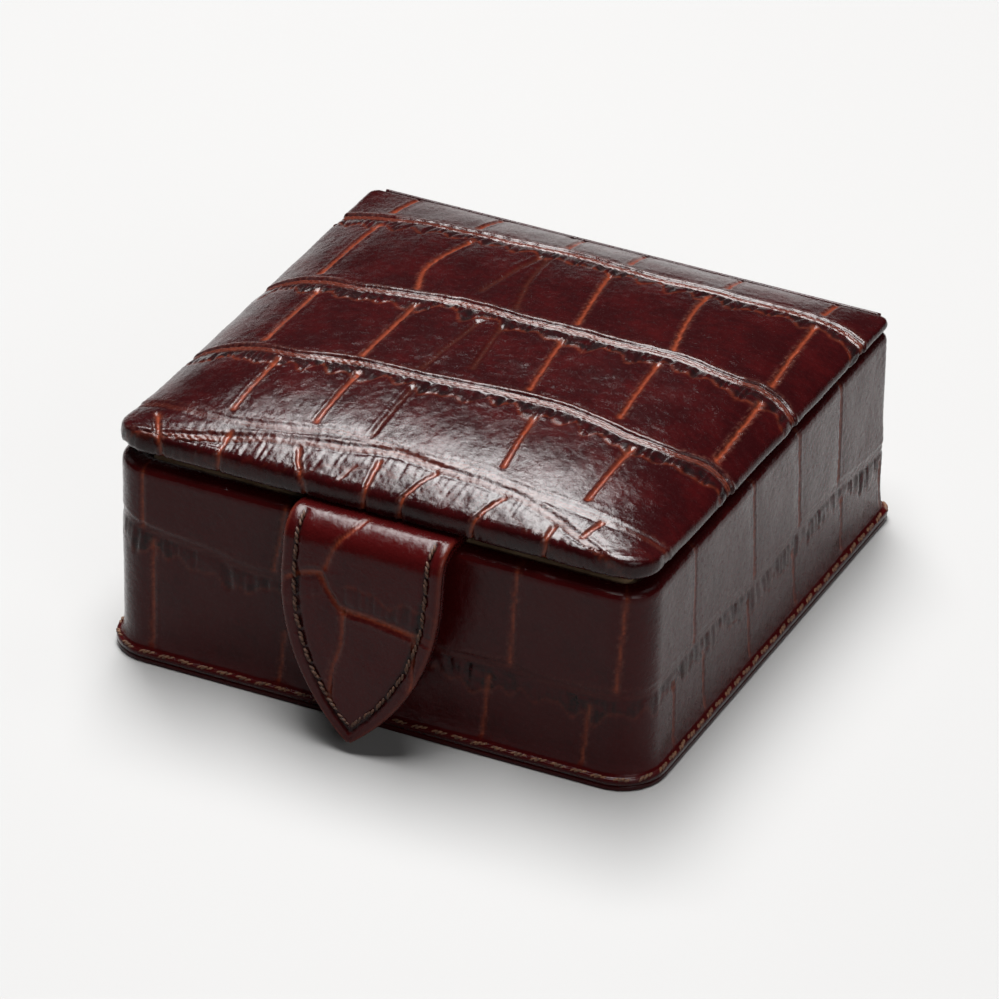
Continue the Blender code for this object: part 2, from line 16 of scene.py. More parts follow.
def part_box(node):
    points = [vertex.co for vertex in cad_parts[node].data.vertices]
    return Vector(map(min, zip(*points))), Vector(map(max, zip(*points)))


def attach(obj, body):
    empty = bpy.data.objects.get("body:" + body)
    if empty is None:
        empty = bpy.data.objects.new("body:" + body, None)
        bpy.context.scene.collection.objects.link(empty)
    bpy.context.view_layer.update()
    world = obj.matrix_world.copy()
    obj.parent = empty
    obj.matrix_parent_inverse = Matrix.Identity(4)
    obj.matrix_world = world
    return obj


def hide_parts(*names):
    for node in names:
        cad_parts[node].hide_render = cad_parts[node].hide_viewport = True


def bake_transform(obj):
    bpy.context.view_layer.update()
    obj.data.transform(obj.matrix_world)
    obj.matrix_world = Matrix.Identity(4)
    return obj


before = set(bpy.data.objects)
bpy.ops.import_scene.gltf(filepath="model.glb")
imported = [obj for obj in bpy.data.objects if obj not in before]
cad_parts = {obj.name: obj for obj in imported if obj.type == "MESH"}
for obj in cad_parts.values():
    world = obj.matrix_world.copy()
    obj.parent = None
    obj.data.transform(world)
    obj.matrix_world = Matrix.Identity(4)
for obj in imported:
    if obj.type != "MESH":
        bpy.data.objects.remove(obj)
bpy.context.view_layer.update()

MM = 0.001

# %% [markdown]
# ## Small helpers
# Every piece ends as one mesh in the shared frame, so the same few steps come back: turn a
# bmesh into an object, weld it, point its faces outwards, and store a number on each point.
# The stamped pattern needs smooth lines through a few given points and a soft,
# repeatable irregularity, which a sum of sine waves gives without any random draw at all.

# %% Helpers for meshes
def keep_mesh(name, built, smooth=True):
    bmesh.ops.recalc_face_normals(built, faces=built.faces)
    mesh = bpy.data.meshes.new(name)
    built.to_mesh(mesh)
    built.free()
    mesh.polygons.foreach_set("use_smooth", [smooth] * len(mesh.polygons))
    piece = bpy.data.objects.new(name, mesh)
    bpy.context.scene.collection.objects.link(piece)
    return piece


def points_of(mesh):
    flat = np.empty(len(mesh.vertices) * 3)
    mesh.vertices.foreach_get("co", flat)
    return flat.reshape(-1, 3)


def put_points(mesh, points):
    mesh.vertices.foreach_set("co", np.asarray(points, float).ravel())
    mesh.update()


def normals_of(mesh):
    flat = np.empty(len(mesh.vertices) * 3, np.float32)
    mesh.vertex_normals.foreach_get("vector", flat)
    return flat.reshape(-1, 3).astype(float)


def store(mesh, name, values):
    values = np.asarray(values, np.float32)
    if values.ndim == 2:
        mesh.attributes.new(name, "FLOAT_VECTOR", "POINT").data.foreach_set("vector", values.ravel())
    else:
        mesh.attributes.new(name, "FLOAT", "POINT").data.foreach_set("value", values)


def read_layer(mesh, name):
    values = np.empty(len(mesh.vertices), np.float32)
    mesh.attributes[name].data.foreach_get("value", values)
    return values.astype(float)


def place_points(built, places, numbers):
    """Moves every point of a bmesh, and keeps the named numbers on it."""
    layers = {key: built.verts.layers.float.new(key) for key in numbers}
    for index, (vert, place) in enumerate(zip(built.verts, places)):
        vert.co = place
        for key, layer in layers.items():
            vert[layer] = float(numbers[key][index])


# %% Helpers for lines and irregularity
def step(low, high, value):
    t = np.clip((value - low) / (high - low), 0, 1)
    return t * t * (3 - 2 * t)


def hill(distance, width):
    return np.exp(-((distance / width) ** 2))


def line_at(points, at):
    """A smooth line through the points, read at the given places."""
    xs, ys = np.array(points, float).T
    slope = np.gradient(ys, xs)
    i = np.clip(np.searchsorted(xs, at) - 1, 0, len(xs) - 2)
    width = xs[i + 1] - xs[i]
    t = np.clip((at - xs[i]) / width, 0, 1)
    before = (2 * t**3 - 3 * t**2 + 1) * ys[i] + (t**3 - 2 * t**2 + t) * width * slope[i]
    after = (3 * t**2 - 2 * t**3) * ys[i + 1] + (t**3 - t**2) * width * slope[i + 1]
    return before + after


WAVES = 7
WAVE_SCALE = 3.2  # brings the sum back to about -1 to 1


def ripple(u, v, size, seed):
    """Soft irregularity: waves of about the given size, each turned its own way."""
    total = np.zeros_like(np.asarray(u, float))
    for k in range(WAVES):
        turn = 2.4 * k + 1.7 * seed
        pace = (1.0 + 0.37 * k % 1.3) / size
        total += np.sin(pace * 4.2 * (u * math.cos(turn) + v * math.sin(turn)) + 3.1 * k + seed)
    return total / WAVE_SCALE


print("line test", float(line_at([(0, 0), (2, 1), (4, 0)], np.array([2.0]))[0]))

# %% [markdown]
# ## The stamped scale pattern
# The calf is pressed under a heated plate cut with the belly scales of a reptile: long rows
# of rectangles, divided by a rope-like double line, with short pleats where the rows meet.
# It could be painted as a bump, but these lines are deep enough to catch the light and
# break the outline, so they are real relief here. A row line and a cross crease each add
# a height, and also how rusty, how dark (wax plus painted shade in the hollows) or how worn
# and lit (wear plus a painted highlight on the raised parts) the leather is there, and the
# colour is mixed from those three numbers later.

# %% Row lines and cross creases
STRANDS = ((0.26, 0.21), (-0.30, 0.21))  # a row line's two strands: place across it and half width, in mm
GROOVES = ((0.66, 0.20), (-0.72, 0.24))  # the cuts beside them
TWIST_PITCH = 1.15
PLEAT_PITCH = 1.75
PLEAT_REACH = 4.0
CREASE_END = 0.7  # over which a crease fades in
CREASE_FLARE = 0.9  # how much wider it gets at its ends
FLARE_LENGTH = 1.1


def blank_marks(u, v):
    return {"u": u, "v": v, "height": np.zeros_like(u), "rust": np.zeros_like(u),
            "dark": np.zeros_like(u), "wear_and_highlight": np.zeros_like(u)}


def add_row(marks, line, strength=1.0, seed=1, pleats=1.0, side=-1, rope=1.0):
    """A rope-like double line along u. Pleats fall on the given side of it."""
    u, v = marks["u"], marks["v"]
    d = v - line_at(line, u) + 0.10 * ripple(u, 0 * u, 3.0, seed)
    d = d * -side
    power = strength * (0.9 + 0.2 * ripple(u, v * 0.2, 14, seed + 2))
    turn = 2 * math.pi * (u / TWIST_PITCH + d / 0.9)
    twist = 0.5 + 0.5 * np.sin(turn + 2.2 * ripple(u, 0 * u, 4, seed + 3))
    strands = sum(hill(d - place, width) for place, width in STRANDS)
    inner_cut, outer_cut = (hill(d - place, width) for place, width in GROOVES)
    height = -0.30 * hill(d + 0.2, 1.7) + 0.24 * hill(d - 1.15, 0.45) + 0.10 * hill(d - 2.2, 1.3)
    height += -0.20 * (inner_cut + outer_cut) - 0.10 * hill(d, 0.14)
    height += rope * 0.20 * strands * (0.25 + 0.75 * twist)
    reach = PLEAT_REACH + 1.4 * ripple(u, 0 * u, 5, seed + 5)
    lean = 0.25 * ripple(u, 0 * u, 16, seed + 7)
    pleat = (u + lean * d) / PLEAT_PITCH + 0.55 * ripple(u, 0 * u, 3.5, seed + 6)
    strength_here = np.clip(0.65 + 0.5 * ripple(u, 0 * u, 2.2, seed + 4), 0.1, 1.2)
    fold = (0.5 + 0.5 * np.cos(2 * math.pi * pleat)) ** 2 * strength_here
    window = step(-reach - 0.9, -reach + 0.5, d) * step(-0.6, -1.2, d)
    scallop = hill(d + reach, 0.35) * (0.4 + 0.6 * np.abs(np.sin(math.pi * pleat)))
    height += pleats * (-0.40 * window * fold + 0.12 * window * (1 - fold) - 0.10 * scallop)
    marks["height"] += power * height
    # The darkening in the pleats and the cuts below is the wax plus painted shade in these hollows.
    patchy_wax_and_shade = np.clip(0.75 + 0.6 * ripple(u, v, 2.6, seed + 9), 0, 1)
    marks["dark"] += power * pleats * np.clip(1.7 * window * (0.45 + 0.55 * fold) * patchy_wax_and_shade, 0, 1)
    marks["dark"] += 0.6 * power * (outer_cut + 0.7 * inner_cut + 0.8 * hill(d, 0.15))
    marks["rust"] += 0.45 * power * rope * strands * (1 - 0.5 * twist) + 0.35 * power * pleats * scallop
    # The lighter worn colour on the twisted strands and on the raised bank behind the line is wear plus a
    # painted highlight.
    marks["wear_and_highlight"] += 0.42 * power * rope * strands * twist ** 2
    patchy_wear_and_highlight = np.clip(0.5 + 0.7 * ripple(u, v, 1.1, seed + 8), 0, 1)
    marks["wear_and_highlight"] += 0.30 * power * hill(d - 1.3, 0.5) * patchy_wear_and_highlight


def add_crease(marks, line, width=0.29, depth=0.30, rust=1.0, dark=0.0):
    """A cross crease along v, through points (v, u): a narrow cut with a raised lip on both sides."""
    u, v = marks["u"], marks["v"]
    low, high = line[0][0], line[-1][0]
    d = u - line_at(line, v) + 0.09 * ripple(v, 0.3 * u, 2.1, low + 3 * line[0][1])
    inside = step(low - 0.6, low + CREASE_END, v) * step(high + 0.6, high - CREASE_END, v)
    past_low, past_high = np.clip(v - low, 0, None), np.clip(high - v, 0, None)
    flare = 1 + CREASE_FLARE * (np.exp(-past_low / FLARE_LENGTH) + np.exp(-past_high / FLARE_LENGTH))
    core = inside * hill(d, width * flare)
    lips = inside * hill(np.abs(d) - 2.3 * width, 0.8 * width)
    marks["height"] += -depth * core - 0.13 * inside * hill(d, 1.8) + 0.10 * lips
    marks["rust"] += rust * inside * hill(d, 0.95 * width * flare) * (0.8 + 0.2 * ripple(v, u, 0.9, low))
    # The dark number in and along the cut is painted shade; the worn colour on the lips is wear plus a
    # painted highlight.
    marks["dark"] += dark * core + 0.30 * inside * hill(d, 0.35 * width) + 0.12 * inside * hill(d, 1.3)
    marks["wear_and_highlight"] += 0.25 * rust * lips * np.clip(0.5 + ripple(v, u, 1.4, high), 0, 1)


def add_grain(marks, seed=1, amount=1.0):
    u, v = marks["u"], marks["v"]
    fine = np.abs(ripple(u, v, 2.4, seed)) + 0.6 * np.abs(ripple(v, u, 1.5, seed + 4))
    marks["height"] += amount * (0.034 * fine + 0.05 * ripple(u, v, 11, seed + 9))


DEEPEST = 0.75


def finish_marks(mesh, marks, fade):
    """Presses the marks into the mesh and stores their numbers for the finish."""
    height = np.clip(marks["height"], -DEEPEST, DEEPEST) * fade
    put_points(mesh, points_of(mesh) + normals_of(mesh) * (height * MM)[:, None])
    for name in ("rust", "dark", "wear_and_highlight"):
        store(mesh, name, np.clip(marks[name], 0, 1) * np.clip(fade, 0, 1))
    store(mesh, "skin", np.stack([marks["u"], marks["v"], 0 * marks["u"]], 1))


print("pattern ready")

# %% [markdown]
# ## The leather finish
# The calf is dyed oxblood, then a dark wax is wiped over and off again. It stays in the
# pleats; the darkening in the pleats, cuts and creases is this wax plus painted shade. On the
# sharp creases the plate has burnt the dye to rust. The lighter worn colour on the raised
# strands, banks and lips is wear plus a painted highlight. A clear glaze lies on top. One
# Principled shader does it: the three stored numbers mix the colour, a coat is the glaze,
# and fine pores and wrinkles below the size of the mesh are a bump.

# %% Helpers for finishes
def new_finish(name):
    finish = bpy.data.materials.new(name)
    finish.use_nodes = True
    return finish, finish.node_tree, finish.node_tree.nodes["Principled BSDF"]


def add_node(tree, kind, links=(), **settings):
    made = tree.nodes.new(kind)
    for key, value in settings.items():
        setattr(made, key, value)
    for socket, value in links:
        if isinstance(value, bpy.types.NodeSocket):
            tree.links.new(value, made.inputs[socket])
        else:
            made.inputs[socket].default_value = value
    return made


def tune(shader, values):
    for socket, value in values.items():
        shader.inputs[socket].default_value = value


def blend_colour(tree, factor, first, second):
    links = [(0, factor), (6, first), (7, second)]
    return add_node(tree, "ShaderNodeMix", links, data_type="RGBA").outputs[2]


def read_number(tree, name):
    return add_node(tree, "ShaderNodeAttribute", attribute_name=name).outputs["Fac"]


def read_place(tree, name):
    return add_node(tree, "ShaderNodeAttribute", attribute_name=name).outputs["Vector"]


def speckle(tree, place, scale, detail=4.0, rough=0.6):
    links = [("Vector", place), ("Scale", scale), ("Detail", detail), ("Roughness", rough)]
    return add_node(tree, "ShaderNodeTexNoise", links).outputs["Fac"]


def spread(tree, value, low, high, to_low=0.0, to_high=1.0):
    links = [(0, value), (1, low), (2, high), (3, to_low), (4, to_high)]
    return add_node(tree, "ShaderNodeMapRange", links).outputs[0]


def sum_of(tree, first, second, operation="ADD"):
    return add_node(tree, "ShaderNodeMath", [(0, first), (1, second)], operation=operation).outputs[0]


def add_bump(tree, height, strength, distance, under=()):
    links = [("Strength", strength), ("Distance", distance), ("Height", height), *under]
    return add_node(tree, "ShaderNodeBump", links).outputs["Normal"]


def object_place(tree):
    return add_node(tree, "ShaderNodeTexCoord").outputs["Object"]


def flecked(name, scale, detail, first, second):
    """A dull finish of two colours in a fine speckle."""
    finish, tree, shader = new_finish(name)
    fleck = speckle(tree, object_place(tree), scale, detail)
    tree.links.new(blend_colour(tree, fleck, first, second), shader.inputs["Base Color"])
    shader.inputs["Roughness"].default_value = 0.9
    return finish


# %% Oxblood calf
OXBLOOD_DEEP = (0.0105, 0.0008, 0.0011, 1)
OXBLOOD_WARM = (0.030, 0.0018, 0.0020, 1)
RUST = (0.165, 0.032, 0.013, 1)
# The dark colour below is the wax plus painted shade in the hollows; the worn colour after it is wear plus a
# painted highlight.
WAX_AND_SHADE = (0.0050, 0.0028, 0.0030, 1)
WEAR_HIGHLIGHT_TINT = (0.200, 0.085, 0.062, 1)


def make_calf(name, warm, sheen, glaze, glaze_index):
    """warm: how red this copy of the calf is; the walls and the tab are made redder and brighter than the
    lid, painted light for how the light falls on them. sheen, glaze and glaze_index: how the hide and its
    glaze shine.
    """
    finish, tree, shader = new_finish(name)
    skin = read_place(tree, "skin")
    cloud = spread(tree, speckle(tree, skin, 0.11, 3.0), 0.32, 0.68, warm - 0.3, warm + 0.3)
    mottle = spread(tree, speckle(tree, skin, 0.9, 5.0), 0.35, 0.65, -0.14, 0.14)
    body = blend_colour(tree, sum_of(tree, cloud, mottle), OXBLOOD_DEEP, OXBLOOD_WARM)
    # How much the wax and the painted shade darken the hide here.
    patchy_wax_and_shade = sum_of(tree, read_number(tree, "dark"), speckle(tree, skin, 1.6), "MULTIPLY")
    waxed_and_shaded = blend_colour(tree, spread(tree, patchy_wax_and_shade, 0.10, 0.55), body, WAX_AND_SHADE)
    patches = spread(tree, speckle(tree, skin, 1.1), 0.3, 0.6, 0.55, 1.0)
    rusty = sum_of(tree, read_number(tree, "rust"), patches, "MULTIPLY")
    burnt = blend_colour(tree, rusty, waxed_and_shaded, RUST)
    # How much wear and painted highlight lighten the hide here.
    wear_and_highlight_speckle = spread(tree, speckle(tree, skin, 2.2), 0.35, 0.7)
    patchy_wear_and_highlight = sum_of(tree, read_number(tree, "wear_and_highlight"), wear_and_highlight_speckle, "MULTIPLY")
    tree.links.new(blend_colour(tree, patchy_wear_and_highlight, burnt, WEAR_HIGHLIGHT_TINT), shader.inputs["Base Color"])
    rough = spread(tree, speckle(tree, skin, 1.3), 0.3, 0.7, 0.19, 0.32)
    dull = spread(tree, read_number(tree, "rust"), 0, 1, 0, 0.15)
    tree.links.new(sum_of(tree, rough, dull), shader.inputs["Roughness"])
    pores = add_node(tree, "ShaderNodeTexVoronoi", [("Vector", skin), ("Scale", 3.4)], feature="SMOOTH_F1")
    folds = [("Vector", skin), ("Scale", 0.55), ("Detail", 9.0), ("Roughness", 0.68), ("Distortion", 1.4)]
    wrinkles = add_node(tree, "ShaderNodeTexNoise", folds)
    wrinkled = add_bump(tree, wrinkles.outputs["Fac"], 0.42, 0.22 * MM)
    porous = add_bump(tree, pores.outputs["Distance"], 0.28, 0.09 * MM, [("Normal", wrinkled)])
    tree.links.new(porous, shader.inputs["Normal"])
    tree.links.new(wrinkled, shader.inputs["Coat Normal"])
    tune(shader, {"Specular IOR Level": sheen, "Coat Weight": glaze, "Coat IOR": glaze_index})
    shader.inputs["Coat Roughness"].default_value = 0.095
    return finish


# One calf in three copies: the walls and the tab get a brighter red than the lid, painted light standing in
# for how the light falls on them.
calf = make_calf("oxblood_calf", 0.16, 0.05, 0.60, 1.36)
wall_calf = make_calf("wall_calf", 1.0, 0.02, 1.0, 1.22)
tab_calf = make_calf("tab_calf", 1.0, 0.06, 0.42, 1.33)
print("finishes", [calf.name, wall_calf.name, tab_calf.name])

# %% [markdown]
# ## The lid cover
# One skin is pulled over a thin board and a foam pad, so the lid is a low pillow: full along
# the front, thin at the sides, and turned in 9 mm underneath. It starts as a fine grid. The
# grid is laid on the lid's plan with its two rounded front corners, its border is extruded
# ring by ring over the edge and underneath, and then the stamp is pressed into it.

# %% Lid sizes and its pillow shape
LID_ORIGIN = Vector((0, 47.7, 36.075))
LID_TILT = math.radians(1.2)
LID_HALF_X = 47.2
LID_HALF_Y = 47.0
LID_FRONT_CORNER = 6.0
LID_BACK_CORNER = 1.8
LID_EDGE_START = 1.2
LID_CROWN = 9.8
LID_SEAT = 0.275  # from the hinge axis up to the lid's underside
EDGE_THIN, EDGE_FULL, EDGE_FALL = 1.5, 3.8, 8.0
SOFT_SIDE, SOFT_FRONT, SOFT_BACK = 10.0, 7.0, 16.0  # how slowly the pillow rises from each edge
LEAST_CORNER = 0.3


def lid_edge(y):
    return EDGE_THIN + (EDGE_FULL - EDGE_THIN) * np.exp((-LID_HALF_Y - y) / EDGE_FALL)


def rise(distance, softness):
    return 1 - np.exp(-np.clip(distance, 0, None) / softness)


def lid_top(x, y):
    edge = lid_edge(y)
    pillow = rise(LID_HALF_X - np.abs(x), SOFT_SIDE)
    pillow = pillow * rise(y + LID_HALF_Y, SOFT_FRONT) * rise(LID_HALF_Y - y, SOFT_BACK)
    return edge + (LID_CROWN - edge) * pillow


def lid_to_world(points):
    """Lid plan and height, in mm, to the frame, in metres."""
    y = points[:, 1] - LID_ORIGIN.y
    z = points[:, 2] + LID_SEAT
    c, s = math.cos(LID_TILT), math.sin(LID_TILT)
    return np.stack([points[:, 0], y * c + z * s + LID_ORIGIN.y, -y * s + z * c + LID_ORIGIN.z], 1) * MM


def core_of(x, y, half_x, half_y, front, back):
    """The nearest point of the straight-sided core, and so the way out at a border point."""
    radius = np.where(y < 0, front, back)
    cx = np.clip(x, -(half_x - radius), half_x - radius)
    cy = np.clip(y, -(half_y - radius), half_y - radius)
    away = np.stack([x - cx, y - cy], 1)
    return away / np.maximum(np.linalg.norm(away, axis=1), 1e-9)[:, None]


def ring_place(x, y, out, inset):
    """A border point moved to the ring at this inset. Corners shrink to a mitre before they could cross."""
    radius = np.where(y < 0, LID_FRONT_CORNER, LID_BACK_CORNER)
    left = np.maximum(radius - inset, LEAST_CORNER)
    core_x = np.clip(x, -(LID_HALF_X - radius), LID_HALF_X - radius)
    core_x = core_x * (LID_HALF_X - inset - left) / (LID_HALF_X - radius)
    ends = (-(LID_HALF_Y - LID_FRONT_CORNER), LID_HALF_Y - LID_BACK_CORNER)
    at_front = max(LID_FRONT_CORNER - inset, LEAST_CORNER)
    at_back = max(LID_BACK_CORNER - inset, LEAST_CORNER)
    new_ends = (-(LID_HALF_Y - inset - at_front), LID_HALF_Y - inset - at_back)
    core_y = np.interp(y, ends, new_ends)
    return core_x + out[:, 0] * left, core_y + out[:, 1] * left


print("lid height at the middle and at the front", lid_top(0.0, 0.0), lid_top(0.0, -46.0))

# %% The three row lines across the lid, in mm
LID_ROWS = (
    ((-52, 35.4), (-45, 35), (-38, 34), (-30, 34), (-22, 33.7), (-14, 33.8), (-5.5, 34.9), (3.6, 34.1),
     (11, 33.6), (20, 34.6), (30, 35.5), (38, 37.2), (43.6, 37), (50, 34.8)),
    ((-52, 6.9), (-45.5, 6.7), (-38, 6.4), (-29, 4.9), (-21.6, 5.4), (-9, 6.8), (0.5, 6.2), (9.4, 6.7),
     (18, 7), (26, 8.2), (36, 8.5), (41.6, 10.1), (50, 8)),
    ((-52, -18.8), (-44.6, -18.8), (-37.6, -18.8), (-28.4, -20), (-18.7, -18.8), (-9.6, -18.7), (3, -17.8),
     (11.5, -16.7), (20.7, -16.8), (30.3, -17.9), (38, -17.1), (43.4, -14.9), (50, -16.3)),
)
print("row lines", len(LID_ROWS))

# %% Grid over the lid plan, then its edge
LID_COLUMNS = 330
LID_MIDDLE_ROWS = 200
NEAR_LINES, ELSEWHERE = 1 / 0.17, 1 / 0.50  # grid rows per mm
RING_INSETS = (0.8, 0.45, 0.18, 0.02, 0.0, 0.05, 0.22, 0.6, 1.2, 3.5, 9.0)
RING_EDGE = (1, 1, 0.93, 0.65, 0.45, 0.27, 0.11, 0.03, 0, 0, 0)
RING_TOP = (0.67, 0.32, 0, 0, 0, 0, 0, 0, 0, 0, 0)


def spaced_rows(middle_count, means):
    """Row places from front to back, closest round the front corners and along the row lines."""
    front_radius = LID_FRONT_CORNER - LID_EDGE_START
    back_radius = LID_BACK_CORNER - LID_EDGE_START
    front = front_radius * (1 - np.cos(np.linspace(0, math.pi / 2, 21)))
    back = back_radius * (1 - np.cos(np.linspace(0, math.pi / 2, 5)))
    depth = 2 * (LID_HALF_Y - LID_EDGE_START)
    fine = np.linspace(front_radius, depth - back_radius, 4000)
    density = np.full(4000, ELSEWHERE)
    for mean in means:
        off = fine - depth / 2 - mean
        density += NEAR_LINES * step(-1.8, -1.3, off) * step(2.2, 1.7, off)
        density += ELSEWHERE * step(-5.5, -4.5, off) * step(-1.2, -1.8, off)
    density += ELSEWHERE * step(-36, -38, fine - depth / 2)
    share = np.cumsum(density) / density.sum()
    middle = np.interp(np.linspace(share[0], 1, middle_count + 2)[1:-1], share, fine)
    return np.concatenate([front, middle, (depth - back)[::-1]]) - depth / 2


def half_width_at(y):
    inner_x = LID_HALF_X - LID_EDGE_START
    inner_y = LID_HALF_Y - LID_EDGE_START
    radius = np.where(y < 0, LID_FRONT_CORNER, LID_BACK_CORNER) - LID_EDGE_START
    past = np.clip(np.abs(y) - (inner_y - radius), 0, radius)
    return inner_x - radius + np.sqrt(radius**2 - past**2)


def follow_rows(x, y):
    """Moves a point of the grid with the nearest row line, so that the mesh runs along the stamp."""
    moved = y
    for line in LID_ROWS:
        mean = float(np.mean([p[1] for p in line[1:-1]]))
        share = step(-8.5, -3.0, y - mean) * step(8.5, 3.0, y - mean)
        moved = moved + share * (line_at(line, x) - mean)
    return moved


cover = bmesh.new()
row_places = spaced_rows(LID_MIDDLE_ROWS, [np.mean([p[1] for p in line[1:-1]]) for line in LID_ROWS])
LID_LINES = len(row_places) - 1
bmesh.ops.create_grid(cover, x_segments=LID_COLUMNS, y_segments=LID_LINES, size=1)
grid_rows = row_places[[round((vert.co.y + 1) / 2 * LID_LINES) for vert in cover.verts]]
across = np.array([vert.co.x for vert in cover.verts]) * half_width_at(grid_rows)
for vert, x, y in zip(cover.verts, across, follow_rows(across, grid_rows)):
    vert.co = (x, y, 0)
ring = [e for e in cover.edges if e.is_boundary]
border = []
for _ in RING_INSETS:
    made = bmesh.ops.extrude_edge_only(cover, edges=ring)["geom"]
    ring = [g for g in made if isinstance(g, bmesh.types.BMEdge) and g.is_boundary]
    cover.verts.index_update()
    border.append([v.index for v in {v for e in ring for v in e.verts}])
lid_cover = keep_mesh("lid_cover", cover)
print("lid cover faces", len(lid_cover.data.polygons), "rings", [len(b) for b in border[:2]])

# %% Place the rings and press the stamp
plan = points_of(lid_cover.data)
flat_plan = plan.copy()
plan[:, 2] = lid_top(plan[:, 0], plan[:, 1])
shown = np.ones(len(plan))
away = core_of(plan[:, 0], plan[:, 1], LID_HALF_X, LID_HALF_Y, LID_FRONT_CORNER, LID_BACK_CORNER)
walked = np.zeros(len(plan))
for inset, edge_share, top_share, members in zip(RING_INSETS, RING_EDGE, RING_TOP, border):
    x, y = flat_plan[members, 0], flat_plan[members, 1]
    start = lid_top(x, y)
    edge = lid_edge(y)
    height = edge_share * edge + top_share * (start - edge)
    reach = LID_EDGE_START - inset
    plan[members, 0], plan[members, 1] = ring_place(x, y, away[members], inset)
    plan[members, 2] = height
    drop = np.clip(start - height, 0, None)
    walked[members] = np.hypot(max(reach, 0), drop) + max(inset - 0.6, 0) * (edge_share < 0.04)
    shown[members] = 0 if edge_share == 0 else 1
put_points(lid_cover.data, lid_to_world(plan))
skin_u = flat_plan[:, 0] + away[:, 0] * walked
skin_v = flat_plan[:, 1] + away[:, 1] * walked
lid_marks = blank_marks(skin_u, skin_v)
for number, line in enumerate(LID_ROWS):
    add_row(lid_marks, line, seed=number + 1)
FRONT_ROW = ((-52, -48), (-41, -46.5), (-36, -45.6), (-29.5, -44.3), (-20.4, -42.3), (-8, -40.4), (0.3, -39),
             (8.3, -39.8), (15.7, -40.3), (21.8, -41), (29.8, -43), (36.6, -45.6), (46, -50))
FRONT_ROW_UPPER = ((-52, -36.5), (-47, -37), (-39, -39.2), (-28, -40.5), (-18.6, -39.4), (-9.5, -37.5),
                   (-2.2, -38.2), (6.4, -38.6), (13, -38), (21.3, -39.2), (30, -39.6), (39, -39.7),
                   (50, -38.8))
add_row(lid_marks, FRONT_ROW, strength=0.7, seed=5, pleats=0.35)
add_row(lid_marks, FRONT_ROW_UPPER, strength=0.45, seed=7, pleats=0.2, rope=0.8)
LID_CREASES = (
    ((36.5, -38.5), (52, -38.5)), ((36, -22.5), (52, -22.5)), ((37, -6.4), (52, -8.4)),
    ((36.5, 4.9), (52, 2.7)), ((37.5, 22), (52, 20.2)), ((39.5, 38.4), (52, 37.5)),
    ((9, -38), (31, -38)), ((7.7, -19.6), (13.6, -21.7), (30, -20.5)), ((8.9, 8.4), (30, 4.6)),
    ((9.7, 25.2), (21.5, 22.5), (32.3, 21.1)), ((12, 41.5), (34.6, 39.3)),
    ((-16.5, -35), (3, -35)), ((-17, -17.4), (3, -17.4)), ((-14.5, 11.2), (3.2, 8.6)),
    ((-14.5, 27), (4.5, 25)), ((-13, 43.3), (7.2, 42.2)),
    ((-38, -29.6), (-21.5, -29.6)), ((-37, -15.4), (-21.5, -15.4)), ((-36, 17.1), (-21.4, 15.5)),
    ((-37, 32.3), (-20.5, 32.3)),
)
for line in LID_CREASES:
    add_crease(lid_marks, line)
# Soft creases: shallow cuts whose darkening (dark=0.5) is painted shade.
SOFT_CREASES = (
    ((45, -10), (52, -10)), ((12, -10.4), (30.3, -8)), ((8.7, -2.4), (19, -5.1), (29.4, -6.6)),
    ((-16.5, -7.1), (2.4, -5.7)), ((-13, 0.3), (2.8, -1.9)), ((-37, -5.5), (-22, -5.5)),
)
for line in SOFT_CREASES:
    add_crease(lid_marks, line, width=0.40, depth=0.22, rust=0.15, dark=0.5)
FRONT_CREASES = (
    ((-56, -37.8), (-48.6, -37.8), (-41, -41.4)), ((-56, -27.6), (-42.5, -27.6)),
    ((-56, -12.1), (-50, -12.1), (-42.5, -15.6)), ((-56, -1.9), (-41, -1.9)),
    ((-56, 5.2), (-45.6, 4.9), (-40.5, 7.8)), ((-56, 17.2), (-46, 17.6), (-41.5, 20.1)),
    ((-56, 29.2), (-44, 29.8)), ((-56, 36.6), (-50, 36.6)), ((-44.5, 35), (-39.8, 36.5)),
)
for line in FRONT_CREASES:
    add_crease(lid_marks, line, width=0.30, depth=0.30)
add_crease(lid_marks, ((-46, -6.7), (-43, -5.2)), width=0.25, depth=0.12, rust=0.35)
add_grain(lid_marks, seed=3)
LID_BACK_FADE = (46.6, 45.0)  # the stamp is nearly flat where the hinge strip is glued
shown *= 0.15 + 0.85 * step(*LID_BACK_FADE, flat_plan[:, 1])
finish_marks(lid_cover.data, lid_marks, shown)
lid_cover.data.materials.append(calf)
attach(lid_cover, "lid")
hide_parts("lid_leather")
print("lid stamped, deepest", round(float(lid_marks["height"].min()), 2), "mm")

# %% [markdown]
# ## The wall cover
# The side skin is one long strip. It starts on the sole as a narrow lip for the seam, turns
# up in a small hollow, climbs the wall, rolls over the rim and ends inside, where it is glued
# behind the lining. A strip of grid follows that section, and is wrapped once round the
# case, closed behind, where the real skin has its butt joint.

